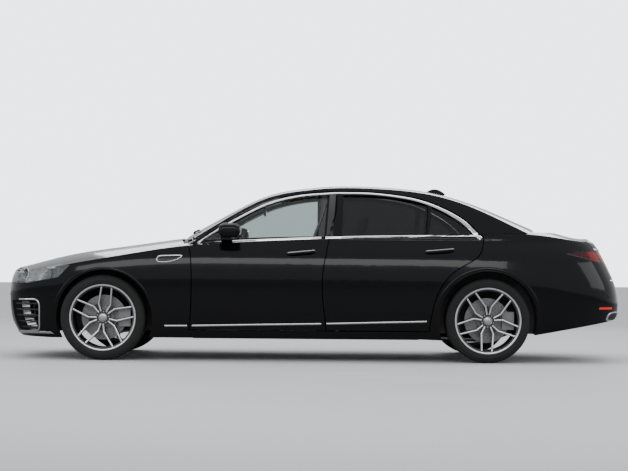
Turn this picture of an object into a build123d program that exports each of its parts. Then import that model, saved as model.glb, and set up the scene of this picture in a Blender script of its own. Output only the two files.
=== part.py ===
"""Long-wheelbase luxury sedan, full size, in millimetres.

+Z is up, the front points to -X, and the origin lies on the floor at mid length and mid width.
The body is cut from four smooth forms: the lower body, the deck that crowns bonnet and boot,
the greenhouse sides and the roof. A panel is the space between an outer and an inset form.
"""

import os
from math import cos, pi, sin

from build123d import *

# ---------------------------------------------------------------- driving dimensions

front_overhang = 880
wheelbase = 3216
rear_overhang = 1193
half_width = 977
height = 1503

front_track = 1640
rear_track = 1632
front_tyre_radius = 356
rear_tyre_radius = 352.2
front_tyre_width = 255
rear_tyre_width = 285
rim_radius = 278

sill_z = 190
door_bottom_z = 262

shut_gap = 8
bonnet_front_gap = 17
door_thickness = 90
frame_thickness = 62
skin_thickness = 40
fender_thickness = 50
bumper_thickness = 60
glass_thickness = 6
door_slope = 0.38
fit = 0.3

grille_half_width = 400
grille_low = 345
grille_high = 690
cowl_half_width = 782
tow_y = 560
tow_z = 520
tow_radius = 17

front_arch_radius = 405
rear_arch_radius = 415
front_house_y = 470
rear_house_y = 640
liner_thickness = 5

# hinge pins: the doors' run upright, the lids' run across the car
door_pin_y = 962
door_pin_setback = 35
door_pin_radius = 4
door_hinge_levels = (600, 720)
door_hinge_height = 30
bonnet_pin_y = 350
bonnet_pin_z = 1010
bonnet_pin_radius = 5
lid_pin_y = 516
lid_pin_z = 1100
lid_pin_radius = 8

overall_length = front_overhang + wheelbase + rear_overhang
nose_x = -overall_length / 2
tail_x = overall_length / 2
front_axle_x = nose_x + front_overhang
rear_axle_x = tail_x - rear_overhang
pillar_x = 95
bonnet_pin_x = nose_x + 1526
lid_pin_x = tail_x - 845
far = 4000
cutter_margin = 120

# ---------------------------------------------------------------- smooth forms

# height, half width, reach of the nose and of the tail, each measured inward from the widest
LOWER_LEVELS = [
    (150, 107, 160, 200),
    (200, 85, 85, 145),
    (300, 52, 26, 55),
    (420, 22, 4, 5),
    (560, 4, 0, 8),
    (660, 0, 11, 30),
    (740, 1, 44, 62),
    (800, 7, 100, 90),
    (860, 17, 205, 120),
    (940, 49, 395, 160),
    (1020, 97, 595, 215),
    (1100, 129, 745, 295),
]

# height and half width below the widest
UPPER_LEVELS = [
    (880, 76),
    (980, 98),
    (1080, 132),
    (1200, 180),
    (1320, 243),
    (1430, 317),
    (1530, 395),
    (1620, 470),
]
UPPER_CENTRE = 330
UPPER_REACH = 2350

# distance behind the nose, height at the centre line, fall of the edge
DECK = [
    (-60, 742, 120),
    (120, 786, 122),
    (320, 840, 116),
    (520, 888, 106),
    (820, 938, 92),
    (1140, 983, 80),
    (1530, 1037, 78),
    (1850, 1060, 76),
    (2150, 1072, 72),
    (2450, 1082, 68),
    (2750, 1092, 66),
    (3050, 1102, 66),
    (3350, 1112, 68),
    (3650, 1124, 72),
    (3950, 1140, 78),
    (4250, 1158, 90),
    (4500, 1156, 100),
    (4750, 1106, 88),
    (5010, 1058, 72),
    (5340, 1000, 70),
]
ROOF = [
    (-1500, -705, 140),
    (-1250, -540, 130),
    (-1010, -398, 115),
    (-856, -311, 105),
    (-648, -197, 95),
    (-440, -100, 90),
    (-231, -44, 88),
    (0, -14, 90),
    (341, 0, 90),
    (757, -18, 94),
    (1121, -73, 105),
    (1434, -171, 125),
    (1746, -299, 150),
    (2050, -428, 170),
    (2400, -590, 190),
]


def ring_of_points(half, front, rear, power, centre=0, bow=0, count=48):
    """Closed plan outline: a rounded box whose ends are bowed forward and back."""
    points = []
    for step in range(count):
        angle = 2 * pi * step / count
        along = cos(angle)
        across = sin(angle)
        reach = (abs(along) ** power + abs(across) ** power) ** (-1 / power)
        end = rear if along > 0 else front
        y = half * reach * across
        x = (end - bow * (reach * across) ** 2) * reach * along
        points.append(Vector(centre + x, y, 0))
    return points


def spacing(points):
    """Share of the way round at each point, so that every level is divided alike."""
    steps = [0.0]
    for index, point in enumerate(points):
        following = points[(index + 1) % len(points)]
        steps.append(steps[-1] + (following - point).length)
    return [step / steps[-1] for step in steps]


def lofted(levels):
    """Solid through closed outlines, given as (height, points)."""
    shares = spacing(levels[len(levels) // 2][1])
    with BuildPart(mode=Mode.PRIVATE) as form:
        for level, points in levels:
            with BuildSketch(Plane.XY.offset(level)):
                with BuildLine():
                    add(Edge.make_spline(points, periodic=True, parameters=shares))
                make_face()
        loft()
    return form.part


def lower_form(inset=0):
    return lofted([
        (level, ring_of_points(half_width - narrower - inset, -nose_x - front - inset,
                               tail_x - rear - inset, 5.7, bow=100))
        for level, narrower, front, rear in LOWER_LEVELS
    ])


def upper_form(inset=0):
    return lofted([
        (level, ring_of_points(half_width - narrower - inset, UPPER_REACH, UPPER_REACH, 3.2,
                               centre=UPPER_CENTRE))
        for level, narrower in UPPER_LEVELS
    ])


def crowned(stations, lowest):
    """Solid under a surface that is crowned across the car, through (x, height, fall at the edge)."""
    with BuildPart(mode=Mode.PRIVATE) as form:
        for x, top, fall in stations:
            with BuildSketch(Plane.YZ.offset(x)):
                with BuildLine():
                    Polyline((-1000, top - fall), (-1000, lowest), (1000, lowest), (1000, top - fall))
                    ThreePointArc((-1000, top - fall), (0, top), (1000, top - fall))
                make_face()
        loft()
    return form.part


def deck_form(drop=0):
    return crowned([(nose_x + x, top - drop, fall * 1.23) for x, top, fall in DECK], 0)


def roof_form(drop=0):
    return crowned([(x, height + top - drop * 1.1, fall) for x, top, fall in ROOF], 0)


def underside():
    """What lies above the body's lower edge, which rises behind the rear wheels."""
    with BuildPart(mode=Mode.PRIVATE) as above:
        with BuildSketch(Plane.XZ):
            with BuildLine():
                Polyline(
                    (nose_x - 100, 236), (nose_x + 150, 188), (nose_x + 430, 180),
                    (front_axle_x + 500, sill_z), (rear_axle_x - 480, sill_z),
                    (rear_axle_x + 410, 234), (tail_x - 120, 352), (tail_x + 100, 400),
                    (tail_x + 100, 2000), (nose_x - 100, 2000), close=True,
                )
            make_face()
        extrude(amount=2000, both=True)
    return above.part


def body_form(inset=0, upper_inset=None, drop=None):
    """The whole outer form, or the same form shrunk inward."""
    upper_inset = inset if upper_inset is None else upper_inset
    drop = inset if drop is None else drop
    lower = lower_form(inset) & deck_form(drop)
    upper = upper_form(upper_inset) & roof_form(drop)
    return lower + upper


def skin_y(z):
    """Half width of the body side at a height, near mid length."""
    table = [(level, narrower) for level, narrower, _, _ in LOWER_LEVELS if level < 1010]
    table += [(level, narrower) for level, narrower in UPPER_LEVELS if level > 1030]
    for (low, near), (high, there) in zip(table, table[1:]):
        if z <= high:
            return half_width - near - (there - near) * (z - low) / (high - low)
    return half_width - table[-1][1]


def leaned(x, z):
    """Place on the cutter's outer plane of a point of the skin, for cutters that slant inboard."""
    return (x + door_slope * (half_width + cutter_margin - skin_y(z)), z)


def outset(edges, gap):
    """Closed outline, given as edges of points in turn, moved outward by a gap."""
    area = sum(x * next_z - next_x * z for points in edges
               for (x, z), (next_x, next_z) in zip(points, points[1:]))
    way = 1 if area > 0 else -1
    normals = []
    for points in edges:
        chords = [Vector(there) - Vector(here) for here, there in zip(points, points[1:])]
        across = [Vector(chord.Y, -chord.X).normalized() * way for chord in chords]
        inner = [(one + two).normalized() for one, two in zip(across, across[1:])]
        normals.append([across[0]] + inner + [across[-1]])
    moved = []
    for index, (points, sides) in enumerate(zip(edges, normals)):
        before = normals[index - 1][-1]
        after = normals[(index + 1) % len(edges)][0]
        start = (before + sides[0]) / (1 + before.dot(sides[0]))
        end = (after + sides[-1]) / (1 + after.dot(sides[-1]))
        ways = [start] + sides[1:-1] + [end]
        moved.append([(x + side.X * gap, z + side.Y * gap) for (x, z), side in zip(points, ways)])
    return moved


def drawn(edges):
    """Draw a closed outline: an edge of two points is a line, a longer one a smooth curve."""
    for points in edges:
        if len(points) == 2:
            Line(*points)
        else:
            Spline(*points)


def side_prism(edges, grow=0, depth=620):
    """Slanted prism through an outline seen from the left side."""
    seats = [[leaned(x, z) for x, z in points] for points in edges]
    with BuildPart(mode=Mode.PRIVATE) as prism:
        with BuildSketch(Plane.XZ.offset(half_width + cutter_margin)):
            with BuildLine():
                drawn(outset(seats, grow))
            make_face()
        extrude(amount=depth * (1 + door_slope ** 2) ** 0.5, dir=(-door_slope, 1, 0))
    return prism.part


def plan_prism(edges, grow=0, lowest=600, highest=1700):
    """Upright prism through an outline seen from above, given for one half and mirrored."""
    other_half = [[(x, -y) for x, y in points[::-1]] for points in edges[::-1]]
    with BuildPart(mode=Mode.PRIVATE) as prism:
        with BuildSketch(Plane.XY.offset(lowest)):
            with BuildLine():
                drawn(outset(edges + other_half, grow))
            make_face()
        extrude(amount=highest - lowest)
    return prism.part


def slab(x_low, x_high, y_low, y_high, z_low, z_high):
    """Plain block between two corners."""
    with BuildPart(mode=Mode.PRIVATE) as block:
        with BuildSketch(Plane.XY.offset(z_low)):
            with Locations(((x_low + x_high) / 2, (y_low + y_high) / 2)):
                Rectangle(x_high - x_low, y_high - y_low)
        extrude(amount=z_high - z_low)
    return block.part


def profile_prism(points, y_low, y_high):
    """Straight prism of a side outline between two distances from the centre line."""
    with BuildPart(mode=Mode.PRIVATE) as prism:
        with BuildSketch(Plane.XZ.offset(-y_low)):
            with BuildLine():
                Polyline(*points, close=True)
            make_face()
        extrude(amount=y_low - y_high)
    return prism.part


def disc_at(x, z, radius, y_low, y_high):
    """Round bar across the car."""
    with BuildPart(mode=Mode.PRIVATE) as bar:
        with BuildSketch(Plane.XZ.offset(-y_low)):
            with Locations((x, z)):
                Circle(radius)
        extrude(amount=y_low - y_high)
    return bar.part


def write(piece, name):
    """Label the solids of a finished piece and write them as one STEP file."""
    whole = Compound(piece.solids())
    whole.label = name
    export_step(whole, f"parts/{name}.step")


def write_pair(piece, name):
    """Write a piece of the left side and its mirror image."""
    write(piece, name + "_left")
    write(mirror(piece, about=Plane.XZ), name + "_right")


def write_both(piece, name):
    """Write a piece of the left side and its mirror image as one node."""
    write(piece + mirror(piece, about=Plane.XZ), name)


# ---------------------------------------------------------------- shared outlines, left side

os.makedirs("parts", exist_ok=True)

door_front_x = front_axle_x + 724
quarter_x = rear_axle_x

FRONT_TOP = [(door_front_x + 29, 985), (door_front_x + 200, 1100), (door_front_x + 386, 1212),
             (door_front_x + 648, 1338), (door_front_x + 910, 1405), (pillar_x + 83, 1433)]
REAR_TOP = [(pillar_x + 91, 1433), (quarter_x - 971, 1430), (quarter_x - 710, 1402),
            (quarter_x - 536, 1365), (quarter_x - 361, 1298), (quarter_x - 187, 1197),
            (quarter_x - 38, 1050)]
PILLAR = [(83, 1433), (28, 1048), (-18, 820), (-22, 462), (-4, 323), (-1, door_bottom_z)]

front_door_edges = [
    [(door_front_x, door_bottom_z), (door_front_x - 5, 950)],
    [(door_front_x - 5, 950), FRONT_TOP[0]],
    FRONT_TOP,
    [(pillar_x + x, z) for x, z in PILLAR],
    [(pillar_x + PILLAR[-1][0], door_bottom_z), (door_front_x, door_bottom_z)],
]
rear_door_edges = [
    REAR_TOP,
    [(quarter_x - 38, 1050), (quarter_x - 51, 950), (quarter_x - 92, 885), (quarter_x - 192, 822),
     (quarter_x - 330, 722), (quarter_x - 421, 580), (quarter_x - 467, 430), (quarter_x - 486, 300),
     (quarter_x - 490, door_bottom_z)],
    [(quarter_x - 490, door_bottom_z), (pillar_x + PILLAR[-1][0] + shut_gap, door_bottom_z)],
    [(pillar_x + x + shut_gap, z) for x, z in PILLAR[::-1]],
]
front_glass_edges = [
    [(door_front_x + 115, 1012), (door_front_x + 240, 1093), (door_front_x + 400, 1187),
     (door_front_x + 655, 1309), (door_front_x + 915, 1375), (pillar_x + 25, 1398)],
    [(pillar_x + 25, 1398), (pillar_x - 85, 1048)],
    [(pillar_x - 85, 1048), (door_front_x + 640, 1037), (door_front_x + 115, 1012)],
]
rear_glass_edges = [
    [(pillar_x + 145, 1402), (quarter_x - 971, 1400), (quarter_x - 710, 1372), (quarter_x - 492, 1322)],
    [(quarter_x - 492, 1322), (quarter_x - 510, 1072)],
    [(quarter_x - 510, 1072), (pillar_x + 131, 1054)],
    [(pillar_x + 131, 1054), (pillar_x + 145, 1402)],
]
quarter_glass_edges = [
    [(quarter_x - 466, 1312), (quarter_x - 372, 1268), (quarter_x - 226, 1178), (quarter_x - 118, 1074)],
    [(quarter_x - 118, 1074), (quarter_x - 486, 1073)],
    [(quarter_x - 486, 1073), (quarter_x - 466, 1312)],
]
bonnet_edges = [
    [(nose_x + 78, 0), (nose_x + 92, 300), (nose_x + 142, 560), (nose_x + 245, 720),
     (nose_x + 395, 790)],
    [(nose_x + 395, 790), (nose_x + 1545, 790)],
    [(nose_x + 1545, 790), (nose_x + 1525, 650), (nose_x + 1500, 350), (nose_x + 1492, 0)],
]
windscreen_edges = [
    [(nose_x + 1540, 0), (nose_x + 1549, 400), (nose_x + 1580, 725)],
    [(nose_x + 1580, 725), (nose_x + 1950, 640), (nose_x + 2345, 560)],
    [(nose_x + 2345, 560), (nose_x + 2318, 280), (nose_x + 2310, 0)],
]
roof_edges = [
    [(nose_x + 2310, 0), (nose_x + 2318, 280), (nose_x + 2345, 560)],
    [(nose_x + 2345, 560), (tail_x - 2000, 575), (tail_x - 1415, 555)],
    [(tail_x - 1415, 555), (tail_x - 1400, 280), (tail_x - 1395, 0)],
]
rear_window_edges = [
    [(tail_x - 1395, 0), (tail_x - 1400, 280), (tail_x - 1415, 555)],
    [(tail_x - 1415, 555), (tail_x - 1100, 590), (tail_x - 780, 600)],
    [(tail_x - 780, 600), (tail_x - 757, 300), (tail_x - 748, 0)],
]
lid_edges = [
    [(tail_x - 740, 0), (tail_x - 749, 300), (tail_x - 772, 600)],
    [(tail_x - 772, 600), (tail_x - 400, 625), (tail_x + 60, 600)],
    [(tail_x + 60, 600), (tail_x + 60, 0)],
]
lid_bottom_z = 700

# corner points of the lamps, the same on both sides
headlamp_points = [(nose_x - 60, 742), (nose_x + 190, 766), (nose_x + 410, 806), (nose_x + 596, 792),
                   (nose_x + 500, 690), (nose_x + 235, 640), (nose_x - 60, 640)]
headlamp_inner_y = 430
tail_lamp_points = [(tail_x - 530, 918), (tail_x - 400, 944), (tail_x + 60, 946), (tail_x + 60, 842),
                    (tail_x - 220, 848)]
tail_lamp_inner_y = 300

front_bumper_points = [
    (nose_x - 60, 100), (front_axle_x - 320, 100), (front_axle_x - 320, 590),
    (nose_x + 500, 690), (nose_x + 470, 745), (nose_x + 470, 900), (nose_x - 60, 900),
]
rear_bumper_points = [
    (rear_axle_x + 280, 100), (rear_axle_x + 280, 705), (rear_axle_x + 470, 736),
    (rear_axle_x + 590, 820), (rear_axle_x + 655, 914), (tail_x - 220, 848), (tail_x + 60, 842),
    (tail_x + 60, 100),
]

# ---------------------------------------------------------------- shells that the panels share

above_edge = underside()
outer = body_form() & above_edge
door_core = body_form(door_thickness, frame_thickness, skin_thickness)
thick_shell = outer - door_core
left_half = slab(-far, far, -far, 0, -10, far)
thick_left = thick_shell & left_half
door_shell = (outer - body_form(door_thickness, frame_thickness, 8)) & slab(-far, far, -far, -550, -10, far)
lower_outer = lower_form() & deck_form() & above_edge
fender_shell = (lower_outer - (lower_form(fender_thickness) & deck_form(skin_thickness))) & left_half
bumper_shell = lower_outer - (lower_form(bumper_thickness) & deck_form(skin_thickness))
deck_shell = lower_outer - (lower_form(skin_thickness) & deck_form(skin_thickness))

front_door_cut = side_prism(front_door_edges)
rear_door_cut = side_prism(rear_door_edges)
front_opening = side_prism(front_door_edges, shut_gap)
rear_opening = side_prism(rear_door_edges, shut_gap)
bonnet_hole = plan_prism(bonnet_edges, shut_gap)
lid_hole = plan_prism(lid_edges, shut_gap) & slab(-far, far, -far, far, lid_bottom_z - shut_gap, far)

front_arch = disc_at(front_axle_x + 8, 352, front_arch_radius, -1200, -front_house_y)
rear_arch = disc_at(rear_axle_x + 3, 352, rear_arch_radius, -1200, -rear_house_y)
headlamp_cut = profile_prism(headlamp_points, -1200, -headlamp_inner_y) - bonnet_hole
tail_lamp_cut = profile_prism(tail_lamp_points, -1200, -tail_lamp_inner_y)
grille_opening = slab(nose_x - 60, nose_x + 400, -grille_half_width, grille_half_width, grille_low, grille_high)
lower_intake = slab(nose_x - 60, nose_x + 400, -520, 520, 232, 305)
side_intake = profile_prism([(nose_x - 60, 238), (nose_x + 200, 238), (nose_x + 318, 256),
                             (nose_x + 326, 440), (nose_x + 300, 490), (nose_x - 60, 490)], -1200, -600)


def disc_x(x_low, x_high, y, z, radius):
    """Round bar along the car."""
    with BuildPart(mode=Mode.PRIVATE) as bar:
        with BuildSketch(Plane.YZ.offset(x_low)):
            with Locations((y, z)):
                Circle(radius)
        extrude(amount=x_high - x_low)
    return bar.part


def both_sides(piece):
    """A cutter and its mirror image."""
    return piece + mirror(piece, about=Plane.XZ)


# ---------------------------------------------------------------- doors and their glass

front_pin_x = door_front_x + door_pin_setback
rear_pin_x = pillar_x + door_pin_setback - 13
barrel_wall = 3.5
pin_grip = 4


def disc_z(x, y, z_low, z_high, radius):
    """Round bar that stands upright."""
    with BuildPart(mode=Mode.PRIVATE) as bar:
        with BuildSketch(Plane.XY.offset(z_low)):
            with Locations((x, y)):
                Circle(radius)
        extrude(amount=z_high - z_low)
    return bar.part


def hinge_pockets(x):
    """Notches in a door's leading edge that hold its hinges and leave only the outer skin."""
    reach = door_pin_radius + barrel_wall + 1
    pockets = [slab(x - 110, x + 2 * reach, -door_pin_y - reach, -door_pin_y + 140,
                    level - door_hinge_height, level + door_hinge_height)
               for level in door_hinge_levels]
    return pockets[0] + pockets[1]


def hinge_pins(x):
    """The door's pins, held by the door above and below each pocket."""
    pins = [disc_z(x, -door_pin_y, level - door_hinge_height - pin_grip,
                   level + door_hinge_height + pin_grip, door_pin_radius)
            for level in door_hinge_levels]
    return pins[0] + pins[1]


def hinge_brackets(x, root_y):
    """Brackets from a pillar out to the door's pins, each with an open bore."""
    radius = door_pin_radius + barrel_wall
    half = door_hinge_height - 12
    with BuildPart(mode=Mode.PRIVATE) as brackets:
        for level in door_hinge_levels:
            add(slab(x - radius, x + radius, -door_pin_y, root_y, level - half, level + half))
            add(disc_z(x, -door_pin_y, level - half, level + half, radius))
            add(disc_z(x, -door_pin_y, level - half - 1, level + half + 1, door_pin_radius + fit),
                mode=Mode.SUBTRACT)
    return brackets.part


with BuildPart() as front_door:
    add(door_shell)
    add(front_door_cut, mode=Mode.INTERSECT)
    add(side_prism(front_glass_edges), mode=Mode.SUBTRACT)
    add(plan_prism(windscreen_edges, 12), mode=Mode.SUBTRACT)
    add(slab(-far, door_front_x + 60, -700, 0, 900, far), mode=Mode.SUBTRACT)
    add(hinge_pockets(front_pin_x), mode=Mode.SUBTRACT)
    add(hinge_pins(front_pin_x))
write_pair(front_door.part, "front_door")

with BuildPart() as rear_door:
    add(door_shell)
    add(rear_door_cut, mode=Mode.INTERSECT)
    add(side_prism(rear_glass_edges), mode=Mode.SUBTRACT)
    add(side_prism(quarter_glass_edges), mode=Mode.SUBTRACT)
    add(hinge_pockets(rear_pin_x), mode=Mode.SUBTRACT)
    add(hinge_pins(rear_pin_x))
write_pair(rear_door.part, "rear_door")

glass_outer = upper_form(20)
glass_inner = upper_form(20 + glass_thickness)

with BuildPart() as front_glass:
    add(side_prism(front_glass_edges))
    add(glass_outer, mode=Mode.INTERSECT)
    add(glass_inner, mode=Mode.SUBTRACT)
write_pair(front_glass.part, "front_door_glass")

with BuildPart() as rear_glass:
    add(side_prism(rear_glass_edges))
    add(side_prism(quarter_glass_edges))
    add(glass_outer, mode=Mode.INTERSECT)
    add(glass_inner, mode=Mode.SUBTRACT)
write_pair(rear_glass.part, "rear_door_glass")

# ---------------------------------------------------------------- fixed outer panels

with BuildPart() as body_side:
    add(thick_left)
    add(slab(door_front_x + 25, far, -far, far, -10, far)
        + slab(front_axle_x + 300, far, -far, far, -10, door_bottom_z - shut_gap), mode=Mode.INTERSECT)
    for opening in (front_opening, rear_opening, rear_arch, front_arch, lid_hole, tail_lamp_cut):
        add(opening, mode=Mode.SUBTRACT)
    add(profile_prism(rear_bumper_points, -far, far), mode=Mode.SUBTRACT)
    for edges in (windscreen_edges, roof_edges, rear_window_edges):
        add(plan_prism(edges), mode=Mode.SUBTRACT)
    add(slab(tail_x - 784, tail_x - 730, -604, 604, 900, far), mode=Mode.SUBTRACT)
    add(bonnet_hole, mode=Mode.SUBTRACT)
write_both(body_side.part, "body_sides")

with BuildPart() as fender:
    add(fender_shell)
    add(slab(nose_x + 300, door_front_x + 25, -far, -cowl_half_width, door_bottom_z - shut_gap, far),
        mode=Mode.INTERSECT)
    add(profile_prism(front_bumper_points, -far, far), mode=Mode.SUBTRACT)
    for opening in (front_arch, headlamp_cut, bonnet_hole, front_opening):
        add(opening, mode=Mode.SUBTRACT)
write_both(fender.part, "fenders")

with BuildPart() as front_bumper:
    add(bumper_shell)
    add(profile_prism(front_bumper_points, -far, far), mode=Mode.INTERSECT)
    for opening in (both_sides(front_arch), both_sides(headlamp_cut), bonnet_hole):
        add(opening, mode=Mode.SUBTRACT)
    add(grille_opening, mode=Mode.SUBTRACT)
    add(lower_intake, mode=Mode.SUBTRACT)
    add(both_sides(side_intake), mode=Mode.SUBTRACT)
    add(disc_x(nose_x - 60, nose_x + 200, tow_y, tow_z, tow_radius), mode=Mode.SUBTRACT)
write(front_bumper.part, "front_bumper")

with BuildPart() as rear_bumper:
    add(bumper_shell)
    add(profile_prism(rear_bumper_points, -far, far), mode=Mode.INTERSECT)
    for opening in (both_sides(rear_arch), lid_hole, both_sides(tail_lamp_cut)):
        add(opening, mode=Mode.SUBTRACT)
    add(disc_x(tail_x - 240, tail_x + 60, tow_y, tow_z, tow_radius), mode=Mode.SUBTRACT)
write(rear_bumper.part, "rear_bumper")

for edges, thickness, name in ((windscreen_edges, glass_thickness, "windscreen"),
                               (roof_edges, skin_thickness, "roof_panel"),
                               (rear_window_edges, glass_thickness, "rear_window")):
    roof_shell = roof_form() - roof_form(thickness)
    with BuildPart() as top_panel:
        add(roof_shell)
        add(plan_prism(edges), mode=Mode.INTERSECT)
    write(top_panel.part, name)

GOOSE_NECK = [(lid_pin_x + x, lid_pin_z + z) for x, z in (
    (-9, 10), (9, 10), (9, -84), (158, -110), (183, -30), (200, -34), (172, -128), (-9, -100))]

with BuildPart() as bonnet:
    add(lower_outer - deck_form(skin_thickness))
    add(plan_prism(bonnet_edges), mode=Mode.INTERSECT)
    add(Pos(bonnet_front_gap - shut_gap, 0, 0) * plan_prism(bonnet_edges), mode=Mode.INTERSECT)
    for side in (-1, 1):
        y = side * bonnet_pin_y
        add(slab(bonnet_pin_x - 45, bonnet_pin_x, y - 6, y + 6, bonnet_pin_z - 10, bonnet_pin_z + 9))
        add(disc_at(bonnet_pin_x, bonnet_pin_z, 9, y - 6, y + 6))
        add(disc_at(bonnet_pin_x, bonnet_pin_z, bonnet_pin_radius, y - 24, y + 24))
write(bonnet.part, "bonnet")

with BuildPart() as boot_lid:
    add(deck_shell)
    add(plan_prism(lid_edges), mode=Mode.INTERSECT)
    add(slab(-far, far, -far, far, lid_bottom_z, far), mode=Mode.INTERSECT)
    add(both_sides(tail_lamp_cut), mode=Mode.SUBTRACT)
    for side in (-1, 1):
        y = side * lid_pin_y
        add(profile_prism(GOOSE_NECK, y - 8, y + 8))
        add(disc_at(lid_pin_x, lid_pin_z, lid_pin_radius, y - 32, y + 32))
write(boot_lid.part, "boot_lid")


# ---------------------------------------------------------------- lamps, grille and cowl

with BuildPart() as headlamps:
    add(headlamp_cut)
    add(lower_outer, mode=Mode.INTERSECT)
    add(lower_form(80) & deck_form(70), mode=Mode.SUBTRACT)
    add(front_arch, mode=Mode.SUBTRACT)
    mirror(about=Plane.XZ)
write(headlamps.part, "headlamps")

tail_lamp_core = lower_form(60) & deck_form(60)
with BuildPart() as tail_lamps:
    add(tail_lamp_cut)
    add(lower_outer, mode=Mode.INTERSECT)
    add(tail_lamp_core, mode=Mode.SUBTRACT)
    add(lid_hole, mode=Mode.SUBTRACT)
    mirror(about=Plane.XZ)
write(tail_lamps.part, "tail_lamps")

with BuildPart() as tail_lamps_lid:
    add(tail_lamp_cut)
    add(plan_prism(lid_edges), mode=Mode.INTERSECT)
    add(lower_outer, mode=Mode.INTERSECT)
    add(lower_form(skin_thickness) & deck_form(skin_thickness), mode=Mode.SUBTRACT)
    mirror(about=Plane.XZ)
write(tail_lamps_lid.part, "tail_lamps_lid")

firewall_drop = 75
cowl_recess = 28
slat_count = 4
slat_height = 18
bar_count = 21
bar_width = 4
bar_recess = 22
grille_frame = 18
grille_depth = 46
grille_width = 2 * grille_half_width
grille_height = grille_high - grille_low
with BuildPart() as grille:
    with BuildPart(mode=Mode.PRIVATE) as slats:
        with BuildSketch(Plane.YZ.offset(nose_x - 60)):
            with Locations((0, grille_low + grille_height / 2)):
                Rectangle(grille_width, grille_height)
                Rectangle(grille_width - 2 * grille_frame, grille_height - 2 * grille_frame,
                          mode=Mode.SUBTRACT)
                with GridLocations(0, grille_height / (slat_count + 1), 1, slat_count):
                    Rectangle(grille_width, slat_height)
        extrude(amount=400)
    with BuildPart(mode=Mode.PRIVATE) as bars:
        with BuildSketch(Plane.YZ.offset(nose_x - 60)):
            with Locations((0, grille_low + grille_height / 2)):
                with GridLocations(grille_width / (bar_count + 1), 0, bar_count, 1):
                    Rectangle(bar_width, grille_height)
        extrude(amount=400)
    add(slats.part & lower_form(6))
    add(bars.part & lower_form(bar_recess))
    add(lower_form(grille_depth), mode=Mode.SUBTRACT)
write(grille.part, "grille")

with BuildPart() as intake_louvres:
    with BuildSketch(Plane.YZ.offset(nose_x - 60)):
        with Locations((-800, 364)):
            with GridLocations(0, 50, 1, 5):
                Rectangle(400, 12)
        with Locations((-300, 268.5)):
            with GridLocations(0, 24, 1, 3):
                Rectangle(600, 6)
    extrude(amount=500)
    add(side_intake + (lower_intake & left_half), mode=Mode.INTERSECT)
    add(lower_form(20), mode=Mode.INTERSECT)
    add(lower_form(50), mode=Mode.SUBTRACT)
    mirror(about=Plane.XZ)
write(intake_louvres.part, "intake_louvres")

with BuildPart() as cowl:
    add(slab(nose_x + 1400, nose_x + 1525, -cowl_half_width, cowl_half_width, 600, far))
    add(slab(nose_x + 1525, nose_x + 1600, 50 - cowl_half_width, cowl_half_width - 50, 600, far))
    add(lower_outer, mode=Mode.INTERSECT)
    add(deck_form(firewall_drop - fit), mode=Mode.SUBTRACT)
    add(bonnet_hole, mode=Mode.SUBTRACT)
    add(plan_prism(windscreen_edges), mode=Mode.SUBTRACT)
    add(slab(nose_x + 1400, bonnet_pin_x + 8, -far, far, 600, far) - deck_form(cowl_recess),
        mode=Mode.SUBTRACT)
    for y in (-bonnet_pin_y, bonnet_pin_y):
        for lug_y in (y - 17, y + 17):
            add(disc_at(bonnet_pin_x, bonnet_pin_z, 10, lug_y - 5, lug_y + 5))
            add(slab(bonnet_pin_x - 10, bonnet_pin_x + 10, lug_y - 5, lug_y + 5,
                     bonnet_pin_z - 40, bonnet_pin_z))
        add(slab(nose_x + 1400, bonnet_pin_x + 15, y - 12, y + 12, 900, far), mode=Mode.SUBTRACT)
        add(disc_at(bonnet_pin_x, bonnet_pin_z, bonnet_pin_radius + fit, y - 25, y + 25),
            mode=Mode.SUBTRACT)
write(cowl.part, "cowl")

# ---------------------------------------------------------------- wheels and brakes

disc_radius = 188
hub_radius = 62
spindle_radius = 24
barrel_radius = 250
bead_radius = 265
spoke_width = 17
fork_count = 5
disc_inner = -30
disc_outer = 4


def tyre_solid(radius, width):
    edge = width / 2
    with BuildPart(mode=Mode.PRIVATE) as tyre:
        with BuildSketch(Plane.XZ):
            with BuildLine():
                Polyline((bead_radius, 14 - edge), (rim_radius, 14 - edge), (rim_radius, 4 - edge),
                         (rim_radius + 22, -edge), (radius - 30, 5 - edge))
                ThreePointArc((radius - 30, 5 - edge), (radius - 7, 18 - edge), (radius, 42 - edge))
                Line((radius, 42 - edge), (radius, edge - 42))
                ThreePointArc((radius, edge - 42), (radius - 7, edge - 18), (radius - 30, edge - 5))
                Polyline((radius - 30, edge - 5), (rim_radius + 22, edge), (rim_radius, edge - 4),
                         (rim_radius, edge - 14), (bead_radius, edge - 14))
                Line((bead_radius, edge - 14), (bead_radius, 14 - edge))
            make_face()
        revolve(axis=Axis.Z)
    return tyre.part


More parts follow.
